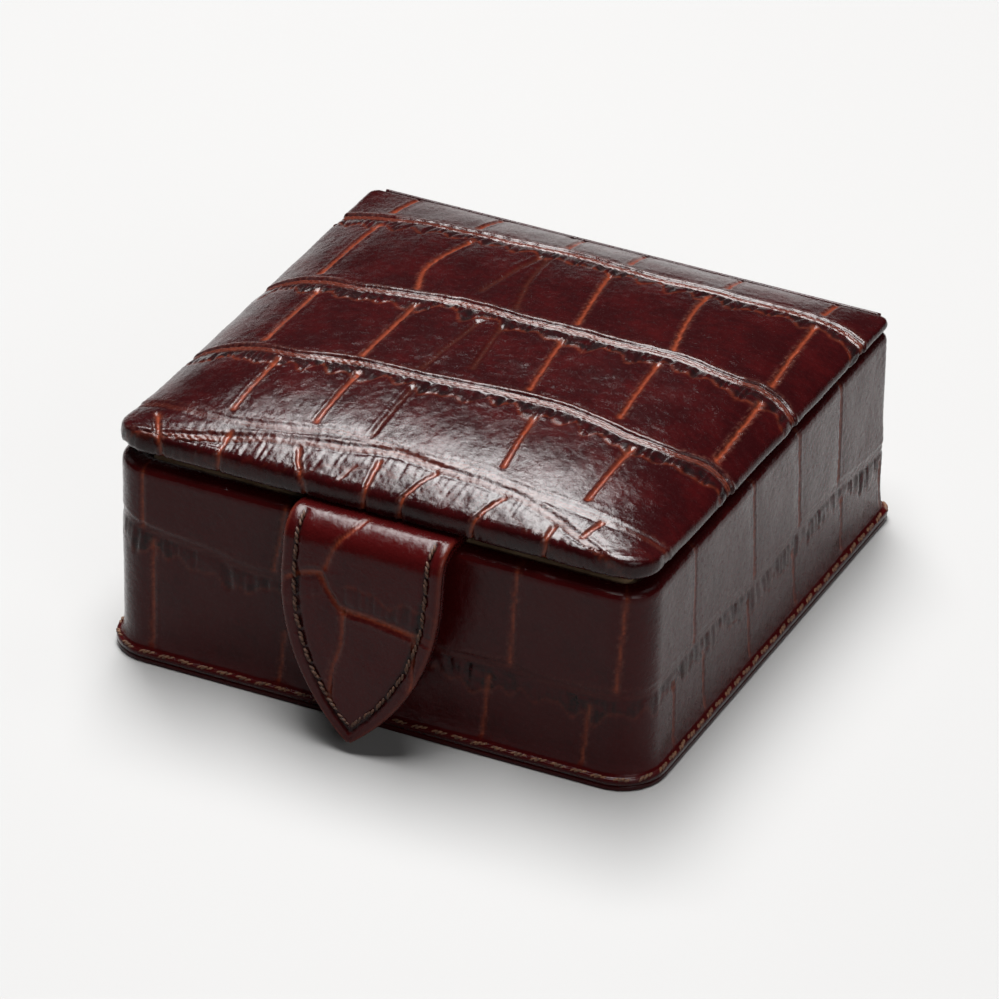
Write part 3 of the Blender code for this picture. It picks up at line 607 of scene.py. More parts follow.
# %% Wall sizes and section
CASE_HALF_X = 47.2
CASE_HALF_Y = 47.0
FRONT_CORNER = 6.5
BACK_CORNER = 1.8
WALL_TURNS = 800
WALL_SECTION = (
    (-1.30, 1.12, 1), (-1.30, 1.75, 3), (-1.18, 2.02, 2), (-0.62, 2.16, 4), (-0.34, 2.50, 3), (-0.13, 3.4, 4),
    (-0.03, 4.3, 3), (0.0, 5.1, 72), (0.0, 34.2, 3), (0.14, 34.85, 3), (0.48, 35.32, 3), (0.98, 35.66, 3),
    (1.6, 35.8, 4), (3.2, 35.8, 3), (4.32, 35.32, 3), (4.8, 34.2, 4), (4.8, 29.8, 1), (3.6, 29.8, 2),
    (3.6, 34.0, 2), (1.3, 34.0, 3), (1.25, 3.6, 2), (1.25, 1.12, 2),
)


LEAST_RADIUS = 0.15
INSIDE_ROWS = 12  # the section's last rows, hidden behind the lining


def section_points(section):
    """The section's corners with the given steps between them, and the length along it."""
    insets, heights = [], []
    for (inset, height, count), (next_inset, next_height, _) in zip(section, section[1:] + section[:1]):
        for k in range(count):
            insets.append(inset + (next_inset - inset) * k / count)
            heights.append(height + (next_height - height) * k / count)
    insets, heights = np.array(insets), np.array(heights)
    along = np.concatenate([[0], np.cumsum(np.hypot(np.diff(insets), np.diff(heights)))])
    return insets, heights, along


def outline_at(s, inset):
    """The point and the way out, at a distance round the case from the front's middle."""
    side = np.where(s < 0, -1.0, 1.0)
    s = np.abs(s)
    front_flat = CASE_HALF_X - FRONT_CORNER
    front_arc = FRONT_CORNER * math.pi / 2
    side_flat = 2 * CASE_HALF_Y - FRONT_CORNER - BACK_CORNER
    back_arc = BACK_CORNER * math.pi / 2
    a = np.clip(s - front_flat, 0, front_arc) / FRONT_CORNER
    b = np.clip(s - front_flat - front_arc - side_flat, 0, back_arc) / BACK_CORNER
    first = np.clip(s / front_flat, 0, 1)
    run = np.clip((s - front_flat - front_arc) / side_flat, 0, 1)
    last = np.clip((s - front_flat - front_arc - side_flat - back_arc) / (CASE_HALF_X - BACK_CORNER), 0, 1)
    half_x, half_y = CASE_HALF_X - inset, CASE_HALF_Y - inset
    front = np.maximum(FRONT_CORNER - inset, LEAST_RADIUS)
    back = np.maximum(BACK_CORNER - inset, LEAST_RADIUS)
    x = first * (half_x - front) + front * np.sin(a) - back * (1 - np.cos(b)) - last * (half_x - back)
    y = -half_y + front * (1 - np.cos(a)) + run * (2 * half_y - front - back) + back * np.sin(b)
    return side * x, y, side * np.sin(a + b), -np.cos(a + b)


half_length = (CASE_HALF_X - FRONT_CORNER) + FRONT_CORNER * math.pi / 2
half_length += 2 * CASE_HALF_Y - FRONT_CORNER - BACK_CORNER
half_length += BACK_CORNER * math.pi / 2 + CASE_HALF_X - BACK_CORNER
insets, heights, along = section_points(WALL_SECTION)
print("half way round", round(half_length, 1), "mm, section points", len(insets))

# %% Wrap the strip
def wrap_strip(name, section, turns):
    """A grid wrapped round the outline and closed along its section, with its skin place kept."""
    insets, heights, along = section_points(section)
    count = len(insets)
    strip = bmesh.new()
    bmesh.ops.create_grid(strip, x_segments=turns, y_segments=count, size=1)
    u = np.array([vert.co.x for vert in strip.verts]) * half_length
    row = np.array([round((vert.co.y + 1) / 2 * count) for vert in strip.verts]) % count
    px, py, _, _ = outline_at(u, insets[row])
    numbers = {"strip_u": u, "strip_v": along[row], "strip_row": row}
    numbers |= {"strip_inset": insets[row], "strip_z": heights[row]}
    place_points(strip, np.stack([px, py, heights[row]], 1) * MM, numbers)
    bmesh.ops.remove_doubles(strip, verts=strip.verts, dist=0.004 * MM)
    return keep_mesh(name, strip)


wall_cover = wrap_strip("wall_cover", WALL_SECTION, WALL_TURNS)
print("wall cover faces", len(wall_cover.data.polygons))

# %% Press the stamp into the wall
wall_mesh = wall_cover.data
wall_rows = len(insets)
flat_start = along[np.flatnonzero((insets == 0) & (heights == 5.1))[0]]
wall_u = read_layer(wall_mesh, "strip_u")
wall_marks = blank_marks(wall_u, read_layer(wall_mesh, "strip_v") - flat_start + 5.1)
WALL_LINE = (
    (-186, 18.5), (-160, 20), (-136, 21), (-110, 22.8), (-85, 22), (-60, 24), (-44, 25.3), (-41, 24.6),
    (-35, 23.9), (-28, 23.2), (-23.5, 22.1), (-18, 21.9), (-8, 20.2), (4, 18.2), (13.6, 16.7), (24.4, 16.9),
    (30.8, 16.2), (42.4, 16.5), (47, 16.8), (51.4, 17), (74.9, 17.3), (86.6, 16),
    (103.4, 16.5), (120.4, 15.8),
    (129.4, 14.3), (135.4, 13.8), (150, 15), (168, 17.2), (186, 18.5),
)
add_row(wall_marks, WALL_LINE, strength=0.50, seed=11, pleats=1.5, rope=0.4)
UPPER_CREASES = (
    (24.6, -41.1, -41.1), (22.8, -17.7, -14.7), (17.4, 24.0, 25.4), (17.4, 42.4, 44.3),
    (17.5, 63.4, 63.4), (16.8, 86.4, 84.9), (17, 103.8, 102.3), (16.6, 119.2, 119.2), (16, 141, 140),
    (17.6, 157, 156), (18.5, 174, 175), (18.8, -172, -171), (20.5, -154, -155), (21.5, -137, -136),
    (22.8, -119, -118), (22.6, -101, -102), (22.8, -83, -82), (24.3, -64, -65),
)
for low, low_u, high_u in UPPER_CREASES:
    add_crease(wall_marks, ((low, low_u), (41, high_u)), width=0.27, depth=0.20)
LOWER_CREASES = (
    (-39.6, -39.1, 23), (-17.3, -15.7, 12.5), (18.8, 20.4, 14.6), (36.1, 38.0, 14.2), (56.2, 56.2, 15),
    (68.2, 67, 14.6), (85.8, 84, 14), (103.7, 101.4, 14), (121.7, 120.4, 13.6), (137, 136, 12),
    (149, 150, 13), (166, 165, 15), (182, 181, 16), (-163, -162, 17), (-146, -147, 18.5),
    (-128, -127, 20), (-110, -111, 20.5), (-92, -93, 20), (-74, -73, 21), (-57, -56, 22),
)
for low_u, high_u, high in LOWER_CREASES:
    add_crease(wall_marks, ((-3, low_u), (high, high_u)), width=0.27, depth=0.20)
add_grain(wall_marks, seed=5, amount=0.8)
row_height, row_inset = read_layer(wall_mesh, "strip_z"), read_layer(wall_mesh, "strip_inset")
outside = (read_layer(wall_mesh, "strip_row") < wall_rows - INSIDE_ROWS) * step(2.2, 3.6, row_height)
outside = outside * step(5.0, 2.5, row_inset)
outside = outside * np.where(row_inset > 0.3, step(4.4, 0.3, row_inset) * 0.5, 1.0)
finish_marks(wall_mesh, wall_marks, outside)
wall_mesh.materials.append(wall_calf)
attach(wall_cover, "base")
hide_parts("wall_leather")
print("wall stamped, deepest", round(float(wall_marks["height"].min()), 2), "mm")

# %% [markdown]
# ## The tab
# Two pieces of calf are glued back to back and sewn round the edge, 2 mm in. The strip is
# glued under the lid, bends down over the front and ends in a pointed arch. Both skins are a
# grid wrapped round a flat section and led along that path, so that the edge is rounded.

# %% Tab sizes and its path
TAB_PLACE = np.array((0.8, -47.2, 38.138))
TAB_LEAN = math.radians(-7.6)
TAB_BEND = 5.2
TAB_LENGTH = 40.27
TAB_HALF = 13.9
TAB_ARCH_START = 12.97
TAB_THICK = 2.05
TAB_SKIN = 0.98
TAB_ROOT = 8.0
TAB_COLUMNS = 84
TAB_BACK_COLUMNS = 12
TAB_EDGE = 0.9  # how far in the rounded edge reaches


def tab_path(along):
    """Place along the strip on its outer face, and the way it faces, in the tab's own frame."""
    turn = np.clip(along / TAB_BEND, 0, math.pi / 2)
    past = np.clip(along - TAB_BEND * math.pi / 2, 0, None)
    y = np.where(along < 0, -along, -TAB_BEND * np.sin(turn))
    z = np.where(along < 0, 0, -TAB_BEND + TAB_BEND * np.cos(turn)) - past
    return y, z, -np.sin(turn), np.cos(turn)


def tab_half(along):
    run = TAB_LENGTH - TAB_ARCH_START
    radius = (run**2 + TAB_HALF**2) / (2 * TAB_HALF)
    into = np.clip(along - TAB_ARCH_START, 0, run)
    return TAB_HALF - radius + np.sqrt(np.maximum(radius**2 - into**2, 0))


def tab_to_world(x, y, z):
    """The strip leans from the bend on; its root stays flat under the lid."""
    lean = np.where(y > 0, 0.0, TAB_LEAN)
    c, s = np.cos(lean), np.sin(lean)
    return np.stack([x + TAB_PLACE[0], y * c - z * s + TAB_PLACE[1], y * s + z * c + TAB_PLACE[2]], 1) * MM


def tab_skin_piece(name, top, bottom, bevel, shrink):
    """One skin of the strip, between two depths below the outer face."""
    hanging = np.linspace(0.1, TAB_LENGTH - 0.35 - shrink, 120)
    rows = np.concatenate([np.linspace(-TAB_ROOT, -0.3, 12), hanging])
    front = TAB_COLUMNS
    columns = front + TAB_BACK_COLUMNS
    across = np.concatenate([np.linspace(-1, 1, front), np.linspace(1, -1, TAB_BACK_COLUMNS)])
    depth = np.concatenate([np.full(front, top), np.full(TAB_BACK_COLUMNS, bottom)])
    edge = np.zeros(columns)
    edge[:front] = bevel * np.clip(1 - (1 - np.abs(across[:front])) * TAB_HALF / TAB_EDGE, 0, 1) ** 2
    sheet = bmesh.new()
    bmesh.ops.create_grid(sheet, x_segments=columns, y_segments=len(rows) - 1, size=1)
    column = np.array([round((vert.co.x + 1) / 2 * columns) for vert in sheet.verts]) % columns
    row = np.array([round((vert.co.y + 1) / 2 * (len(rows) - 1)) for vert in sheet.verts])
    along = rows[row]
    half = tab_half(along + shrink) - shrink * 0.4
    x = across[column] * half
    y, z, ny, nz = tab_path(along)
    sink = depth[column] + edge[column] * (column < front)
    places = tab_to_world(x, y - ny * sink, z - nz * sink)
    place_points(sheet, places, {"tab_x": x, "tab_d": along, "tab_f": column < front})
    bmesh.ops.remove_doubles(sheet, verts=sheet.verts, dist=0.004 * MM)
    bmesh.ops.holes_fill(sheet, edges=[e for e in sheet.edges if e.is_boundary])
    return keep_mesh(name, sheet)


tab_cover = tab_skin_piece("tab_cover", 0.0, TAB_SKIN, 0.42, 0.0)
tab_backing = tab_skin_piece("tab_backing", TAB_THICK - TAB_SKIN, TAB_THICK, 0.05, 0.15)
print("tab faces", len(tab_cover.data.polygons), len(tab_backing.data.polygons))

# %% Press the stamp into the tab
tab_mesh = tab_cover.data
tab_u = read_layer(tab_mesh, "tab_x")
tab_v = -read_layer(tab_mesh, "tab_d")
tab_face = read_layer(tab_mesh, "tab_f")
tab_marks = blank_marks(tab_u, tab_v)
LEFT_ROW = ((-14, -15.1), (-10.3, -13.0), (-7, -12.2), (0, -14))
RIGHT_ROW = ((-6, -17.0), (-2.5, -17.4), (1.5, -17.6), (5.1, -18), (9.8, -18.7), (14, -19.4))
left_window = step(-5.6, -7.6, tab_u)
right_window = step(-3.6, -2.0, tab_u)
for window, line, seed, pleats, side in (
    (left_window, LEFT_ROW, 21, 0.5, -1),
    (right_window, RIGHT_ROW, 23, 1.0, 1),
):
    part = blank_marks(tab_u, tab_v)
    add_row(part, line, strength=0.55, seed=seed, pleats=pleats, side=side, rope=0.7)
    for name in ("height", "rust", "dark", "wear_and_highlight"):
        tab_marks[name] += window * part[name]
for line, width in (
    (((-11.4, -6.3), (-6.4, -4.4), (-2.6, -1.8), (1, -0.6)), 0.40),
    (((-18.0, -2.5), (-15.4, -4.8), (-12.2, -7.0)), 0.5),
    (((-33.5, -4.0), (-29.4, -3.9), (-23.4, -2.6), (-17.6, -2.5)), 0.42),
    (((-28.8, 10.1), (-19.0, 10.0)), 0.36),
):
    add_crease(tab_marks, line, width=0.75 * width, depth=0.26, rust=0.85)
row_run = step(-13.6, -12.0, tab_u) * step(11.5, 9.5, tab_u)
tab_rust_line = np.where(tab_u < -5.5, line_at(LEFT_ROW, tab_u), line_at(RIGHT_ROW, tab_u))
on_line = row_run * ((tab_u < -6.2) + (tab_u > -3.0)) * hill(tab_v - tab_rust_line, 0.34)
tab_marks["rust"] += 0.8 * on_line
tab_marks["height"] -= 0.2 * on_line
SEAM_INSET = 2.5
edge_gap = tab_half(-tab_v) - np.abs(tab_u)
slope_scale = np.where(-tab_v > TAB_ARCH_START, 0.86, 1.0)  # the arch runs aslant, so its gap is shorter
seam_groove = hill(edge_gap * slope_scale - SEAM_INSET, 0.55) * (tab_v < -2.0)
# The seam groove is pressed in, and its darkening is painted shade in the groove.
tab_marks["height"] -= 0.32 * seam_groove
tab_marks["dark"] += 0.9 * seam_groove
tab_marks["rust"] += 0.35 * step(0.9, 0.1, edge_gap)
add_grain(tab_marks, seed=13, amount=0.7)
finish_marks(tab_mesh, tab_marks, tab_face * step(0.0, 0.8, edge_gap + 0.3) * step(0.5, -2.5, tab_v))
back_mesh = tab_backing.data
back_u = read_layer(back_mesh, "tab_x")
back_v = -read_layer(back_mesh, "tab_d")
back_marks = blank_marks(back_u, back_v)
add_grain(back_marks, seed=17, amount=0.3)
finish_marks(back_mesh, back_marks, 0 * back_u)
tab_mesh.materials.append(tab_calf)
back_mesh.materials.append(tab_calf)
for piece in (tab_cover, tab_backing):
    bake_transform(piece)
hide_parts("tab_front_leather", "tab_root")
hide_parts("tab_back_leather")
print("tab stamped")

# %% [markdown]
# ## The sole and the seams
# The case stands on a thin sole of the same calf. A heavy two-ply thread sews it to the lip
# all round, in slanted stitches that sink a little into the skin. A curve with a bevel would
# give a plain wire, so one stitch is built from three overlapping strands and repeated
# along the seam with its own slant. The lighter seam round the tab uses the same stitch.

# %% Sole
SOLE_PROUD = 1.3
SOLE_THICK = 0.95
SOLE_STEPS = 240
SOLE_ROUNDING = 0.28
SOLE_DARK = 0.35
sole_steps = np.linspace(-half_length, half_length, SOLE_STEPS + 1)[:-1]
sole = bmesh.new()
bmesh.ops.create_circle(sole, cap_ends=True, segments=len(sole_steps), radius=1)
sx, sy, _, _ = outline_at(sole_steps, -SOLE_PROUD)
sole.verts.ensure_lookup_table()
for vert, x, y in zip(sole.verts, sx, sy):
    vert.co = (x * MM, y * MM, 0)
raised = bmesh.ops.extrude_face_region(sole, geom=list(sole.faces))["geom"]
raised_verts = [g for g in raised if isinstance(g, bmesh.types.BMVert)]
bmesh.ops.translate(sole, verts=raised_verts, vec=(0, 0, SOLE_THICK * MM))
bmesh.ops.recalc_face_normals(sole, faces=sole.faces)
rims = [e for e in sole.edges if len(e.link_faces) == 2 and e.calc_face_angle(0) > 1]
rounding = {"segments": 3, "affect": "EDGES", "profile": 0.5, "material": -1}
bmesh.ops.bevel(sole, geom=rims, offset=SOLE_ROUNDING * MM, **rounding)
sole_piece = keep_mesh("sole", sole)
sole_flat = points_of(sole_piece.data) / MM
store(sole_piece.data, "skin", sole_flat)
for name in ("rust", "dark", "wear_and_highlight"):
    store(sole_piece.data, name, np.full(len(sole_flat), SOLE_DARK if name == "dark" else 0.0))
sole_piece.data.materials.append(wall_calf)
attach(sole_piece, "base")
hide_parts("sole_leather")
print("sole faces", len(sole_piece.data.polygons))

# %% Thread finish
THREAD_LIGHT = (0.124, 0.056, 0.025, 1)
THREAD_DARK = (0.035, 0.013, 0.007, 1)


def make_thread(name, light, dark):
    finish, tree, shader = new_finish(name)
    fibre = speckle(tree, read_place(tree, "skin"), 1.7, 6.0, 0.7)
    colour = blend_colour(tree, spread(tree, fibre, 0.35, 0.62), dark, light)
    tree.links.new(colour, shader.inputs["Base Color"])
    tree.links.new(add_bump(tree, fibre, 0.6, 0.1 * MM), shader.inputs["Normal"])
    tune(shader, {"Roughness": 0.62, "Specular IOR Level": 0.35})
    return finish


lip_thread = make_thread("lip_thread", THREAD_LIGHT, THREAD_DARK)
tab_thread = make_thread("tab_thread_paint", (0.070, 0.028, 0.014, 1), (0.018, 0.007, 0.004, 1))

# %% One stitch and a seam of them
STITCH_SLANT = 24
LIP_STITCH = (2.45 * MM, 0.88 * MM)  # length and thickness
TAB_STITCH = (2.25 * MM, 0.80 * MM)


def stitch_mesh(length, thick):
    """Three strands, each slanted to the seam, as two-ply thread shows from above."""
    stitch = bmesh.new()
    for place in (-0.34, 0.0, 0.34):
        strand = bmesh.ops.create_uvsphere(stitch, u_segments=7, v_segments=5, radius=0.5)["verts"]
        bmesh.ops.rotate(stitch, verts=strand, matrix=Matrix.Rotation(math.pi / 2, 3, "Y"))
        bmesh.ops.scale(stitch, verts=strand, vec=(0.56 * length, 0.62 * thick, 0.85 * thick))
        bmesh.ops.rotate(stitch, verts=strand, matrix=Matrix.Rotation(math.radians(STITCH_SLANT), 3, "Z"))
        bmesh.ops.translate(stitch, verts=strand, vec=(place * length, 0, -0.48 * thick * abs(place)))
    kept = bpy.data.meshes.new("stitch")
    stitch.to_mesh(kept)
    stitch.free()
    return kept


def sew(name, stitch, frames):
    """The stitch repeated at each frame, a matrix in metres, as one piece."""
    seam = bmesh.new()
    for number, place in enumerate(frames):
        before = len(seam.verts)
        seam.from_mesh(stitch)
        seam.verts.ensure_lookup_table()
        sway = Matrix.Rotation(0.10 * math.sin(2.3 * number), 4, "Z")
        bmesh.ops.transform(seam, matrix=place @ sway, verts=seam.verts[before:])
    piece = keep_mesh(name, seam)
    store(piece.data, "skin", points_of(piece.data) / MM)
    return piece


def frame_at(place, ahead, out):
    """A matrix with x along the seam and z out of the skin."""
    x = Vector(ahead).normalized()
    z = Vector(out).normalized()
    y = z.cross(x)
    return Matrix.Translation(Vector(place)) @ Matrix((x, y, z)).transposed().to_4x4()


LIP_STITCHES = 106
LIP_SEAM_OUT, LIP_SEAM_HEIGHT = 0.98, 2.02
lip_s = (np.arange(LIP_STITCHES) + 0.5) / LIP_STITCHES * 2 * half_length - half_length
lx, ly, lnx, lny = outline_at(lip_s, -LIP_SEAM_OUT)
lip_frames = []
for x, y, nx, ny in zip(lx, ly, lnx, lny):
    out = Vector((nx * 0.9, ny * 0.9, 1))
    lip_frames.append(frame_at((x * MM, y * MM, LIP_SEAM_HEIGHT * MM), (-ny, nx, 0), out))
lip_seam = sew("lip_seam", stitch_mesh(*LIP_STITCH), lip_frames)
lip_seam.data.materials.append(lip_thread)
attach(lip_seam, "base")
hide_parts("base_thread")
print("lip stitches", LIP_STITCHES, "faces", len(lip_seam.data.polygons))

# %% The seam round the tab
TAB_PITCH = 2.75
arch_run = TAB_LENGTH - TAB_ARCH_START
arch_radius = (arch_run**2 + TAB_HALF**2) / (2 * TAB_HALF)
seam_radius = arch_radius - SEAM_INSET
seam_tip = math.acos((arch_radius - TAB_HALF) / seam_radius)
straight = np.linspace(2.4, TAB_ARCH_START, 60)
turns = np.linspace(0, seam_tip, 140)[1:]
arch_x = TAB_HALF - arch_radius + seam_radius * np.cos(turns)
side_x = np.concatenate([np.full(60, TAB_HALF - SEAM_INSET), arch_x])
side_along = np.concatenate([straight, TAB_ARCH_START + seam_radius * np.sin(turns)])
side_walk = np.concatenate([[0], np.cumsum(np.hypot(np.diff(side_x), np.diff(side_along)))])
tab_count = int(side_walk[-1] / TAB_PITCH)
tab_frames = []
for side in (-1, 1):
    walk = (np.arange(tab_count) + 0.5) / tab_count * side_walk[-1]
    for at in walk:
        spots = []
        for place in (at - 0.2, at + 0.2):
            x = side * np.interp(place, side_walk, side_x)
            along_tab = np.interp(place, side_walk, side_along)
            y, z, ny, nz = tab_path(np.array([along_tab]))
            spots.append(tab_to_world(np.array([x]), y + 0.06 * ny, z + 0.06 * nz)[0])
        lean = math.cos(TAB_LEAN), math.sin(TAB_LEAN)
        out = (0, ny[0] * lean[0] - nz[0] * lean[1], ny[0] * lean[1] + nz[0] * lean[0])
        tab_frames.append(frame_at((spots[0] + spots[1]) / 2, spots[1] - spots[0], out))
tab_seam = sew("tab_seam", stitch_mesh(*TAB_STITCH), tab_frames)
tab_seam.data.materials.append(tab_thread)
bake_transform(tab_seam)
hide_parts("tab_thread")
print("tab stitches", len(tab_frames))

# %% [markdown]
# ## The hinge
# There is no metal hinge: a strip of the same calf is glued across the back, from the wall to
# the back edge of the lid, and folds each time the lid opens. It is one strip here too, a grid
# wrapped round a thin section, with shallow fold lines pressed in.

# %% Hinge strip
STRAP_HALF = 45.0
STRAP_INNER, STRAP_OUTER = 47.28, 48.18
STRAP_LOW, STRAP_HIGH = 21.35, 37.7
STRAP_COLUMNS = 150
STRAP_FOLDS = (35.5, 36.1, 36.7)
strap_section = (
    (STRAP_INNER, STRAP_LOW + 0.25, 1), (STRAP_INNER + 0.15, STRAP_LOW, 1),
    (STRAP_OUTER - 0.35, STRAP_LOW, 1), (STRAP_OUTER - 0.08, STRAP_LOW + 0.22, 1),
    (STRAP_OUTER, STRAP_LOW + 0.7, 46), (STRAP_OUTER, STRAP_HIGH - 0.7, 1),
    (STRAP_OUTER - 0.1, STRAP_HIGH - 0.2, 1), (STRAP_OUTER - 0.4, STRAP_HIGH, 1),
    (STRAP_INNER + 0.15, STRAP_HIGH, 1), (STRAP_INNER, STRAP_HIGH - 0.25, 46),
)
strap_y, strap_z = section_points(strap_section)[:2]
strap = bmesh.new()
bmesh.ops.create_grid(strap, x_segments=STRAP_COLUMNS, y_segments=len(strap_y), size=1)
strap_row = np.array([round((vert.co.y + 1) / 2 * len(strap_y)) for vert in strap.verts]) % len(strap_y)
strap_x = np.array([vert.co.x for vert in strap.verts]) * STRAP_HALF
strap_grid = np.stack([strap_x, strap_y[strap_row], strap_z[strap_row]], 1) * MM
place_points(strap, strap_grid, {"face": step(STRAP_OUTER - 0.3, STRAP_OUTER, strap_y[strap_row])})
bmesh.ops.remove_doubles(strap, verts=strap.verts, dist=0.004 * MM)
bmesh.ops.holes_fill(strap, edges=[e for e in strap.edges if e.is_boundary])
hinge_strap = keep_mesh("hinge_strap", strap)
strap_places = points_of(hinge_strap.data) / MM
strap_marks = blank_marks(strap_places[:, 0], strap_places[:, 2])
STRAP_LINE = ((-50, 27.5), (-25, 28.6), (0, 27.9), (22, 28.8), (50, 27.6))
add_row(strap_marks, STRAP_LINE, strength=0.45, seed=31, rope=0.5)
for low_u, high_u in ((-37, -36), (-19, -20), (2, 1), (21, 22.5), (39, 38)):
    add_crease(strap_marks, ((29.5, low_u), (34.2, high_u)), width=0.33, depth=0.18)
for low_u in (-29, -8, 12, 30):
    add_crease(strap_marks, ((21, low_u), (26, low_u + 0.6)), width=0.33, depth=0.18)
for fold_z in STRAP_FOLDS:
    strap_marks["height"] -= 0.10 * hill(strap_places[:, 2] - fold_z, 0.16)
    # A lighter line beside each fold: wear plus a painted highlight.
    strap_marks["wear_and_highlight"] += 0.25 * hill(strap_places[:, 2] - fold_z - 0.25, 0.15)
add_grain(strap_marks, seed=33, amount=0.5)
strap_fade = read_layer(hinge_strap.data, "face") * step(45, 44.2, np.abs(strap_places[:, 0]))
finish_marks(hinge_strap.data, strap_marks, 0.8 * strap_fade)
hinge_strap.data.materials.append(calf)
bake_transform(hinge_strap)
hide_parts("hinge_leather_lower", "hinge_leather_upper")
print("hinge strip faces", len(hinge_strap.data.polygons))

# %% [markdown]
# ## The soft inside
# The inside is lined in suede: a skin round the walls, a thin pad on the floor, two slim
# dividers, and a bed with four rolls that grip rings between them. Each padded piece is a
# bevelled block that is blown up a little as cloth, so its faces crown and its corners pull
# in. The blocks are simulated ten times too large, since cloth settings suit furniture.

# %% Suede
SUEDE_LIGHT = (0.420, 0.285, 0.170, 1)
SUEDE_DARK = (0.235, 0.145, 0.080, 1)
suede, suede_tree, suede_shader = new_finish("sand_suede")
suede_place = object_place(suede_tree)
nap = speckle(suede_tree, suede_place, 220, 4.0, 0.6)
fibres = speckle(suede_tree, suede_place, 5200, 5.0, 0.75)
brushed = spread(suede_tree, nap, 0.35, 0.65, 0.15, 0.75)
shade = sum_of(suede_tree, brushed, spread(suede_tree, fibres, 0.3, 0.7, -0.2, 0.3))
suede_colour = blend_colour(suede_tree, shade, SUEDE_DARK, SUEDE_LIGHT)
suede_tree.links.new(suede_colour, suede_shader.inputs["Base Color"])
suede_tree.links.new(add_bump(suede_tree, fibres, 0.5, 0.12 * MM), suede_shader.inputs["Normal"])
tune(suede_shader, {"Roughness": 0.95, "Specular IOR Level": 0.15})
tune(suede_shader, {"Sheen Weight": 0.5, "Sheen Roughness": 0.4})

# %% Blow up a block
LARGER = 10.0
CLOTH_FRAMES = 20


def soft_block(name, low, high, bevel, voxel, cap, pressure=4.0, turned=None):
    """A padded piece that fills a box, in metres, with its corners pulled in."""
    block = bmesh.new()
    bmesh.ops.create_cube(block, size=1)
    room = cap * MM
    size = [(h - l - 2 * room) * LARGER for l, h in zip(low, high)]
    middle = Vector([(l + h) / 2 for l, h in zip(low, high)])
    bmesh.ops.scale(block, verts=block.verts, vec=size)
    bmesh.ops.bevel(block, geom=list(block.edges), offset=bevel * MM * LARGER, **rounding)
    raw = keep_mesh(name + "_raw", block)
    remesh = raw.modifiers.new("even", "REMESH")
    remesh.mode = "VOXEL"
    remesh.voxel_size = voxel * MM * LARGER
    graph = bpy.context.evaluated_depsgraph_get()
    mesh = bpy.data.meshes.new_from_object(raw.evaluated_get(graph))
    bpy.data.objects.remove(raw)
    piece = bpy.data.objects.new(name, mesh)
    bpy.context.scene.collection.objects.link(piece)
    rest = points_of(mesh)
    cloth = piece.modifiers.new("cloth", "CLOTH")
    cloth.settings.use_pressure = True
    cloth.settings.uniform_pressure_force = pressure
    cloth.settings.effector_weights.gravity = 0
    cloth.settings.quality = 4
    for moment in range(1, CLOTH_FRAMES + 1):
        bpy.context.scene.frame_set(moment)
    graph = bpy.context.evaluated_depsgraph_get()
    blown = points_of(piece.evaluated_get(graph).to_mesh())
    piece.modifiers.clear()
    bpy.context.scene.frame_set(1)
    moved = blown - rest
    length = np.linalg.norm(moved, axis=1)[:, None]
    limit = 2.2 * room * LARGER
    moved *= np.minimum(1, limit / np.maximum(length, 1e-9))
    half = np.array([(h - l) / 2 for l, h in zip(low, high)]) * LARGER
    places = np.clip(rest + moved, -half, half) / LARGER + np.array(middle)
    put_points(mesh, places if turned is None else turned(places))
    mesh.polygons.foreach_set("use_smooth", [True] * len(mesh.polygons))
    mesh.materials.append(suede)
    return piece


floor_low, floor_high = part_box("floor_pad")
floor_soft = soft_block("floor_cushion", floor_low, floor_high, 0.6, 1.1, 0.15, 2.0)
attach(floor_soft, "base")
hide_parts("floor_pad")
print("floor cushion faces", len(floor_soft.data.polygons))

# %% Ring bed and rolls
bed_low, bed_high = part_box("ring_bed")
bed_soft = soft_block("ring_bed_cover", bed_low, bed_high, 0.7, 1.2, 0.12, 2.0)
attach(bed_soft, "base")
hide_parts("ring_bed")
for number in range(1, 5):
    low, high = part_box(f"ring_roll_{number}")
    roll = soft_block(f"ring_roll_cover_{number}", low, high, 2.9, 0.8, 0.25, 5.0)
    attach(roll, "base")
    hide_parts(f"ring_roll_{number}")
print("ring rolls blown, faces each", len(roll.data.polygons))

# %% Dividers
for node_name in ("long_divider", "short_divider"):
    piece_name = node_name + "_cover"
    low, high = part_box(node_name)
    wall = soft_block(piece_name, low, high, 0.75, 0.5, 0.06, 1.0)
    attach(wall, "base")
    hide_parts(node_name)
print("dividers covered")

# %% Wall lining
LINING_SECTION = (
    (5.02, 3.45, 24), (5.02, 34.9, 1), (5.12, 35.2, 1), (5.35, 35.36, 1), (5.65, 35.36, 1), (5.88, 35.2, 1),
    (5.98, 34.9, 24), (5.98, 3.45, 2),
)
lining = wrap_strip("wall_lining_skin", LINING_SECTION, 360)
lining.data.materials.append(suede)
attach(lining, "base")
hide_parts("wall_lining")
print("lining faces", len(lining.data.polygons))

# %% [markdown]
# ## Inside the lid
# The lid is lined with a thin padded panel of the same suede, and over its board lies the
# foam that gives the pillow. The foam never shows, but it is made as a real pad.

# %% Lid panel and foam
FOAM_COVER = 1.5  # leather and air over the foam


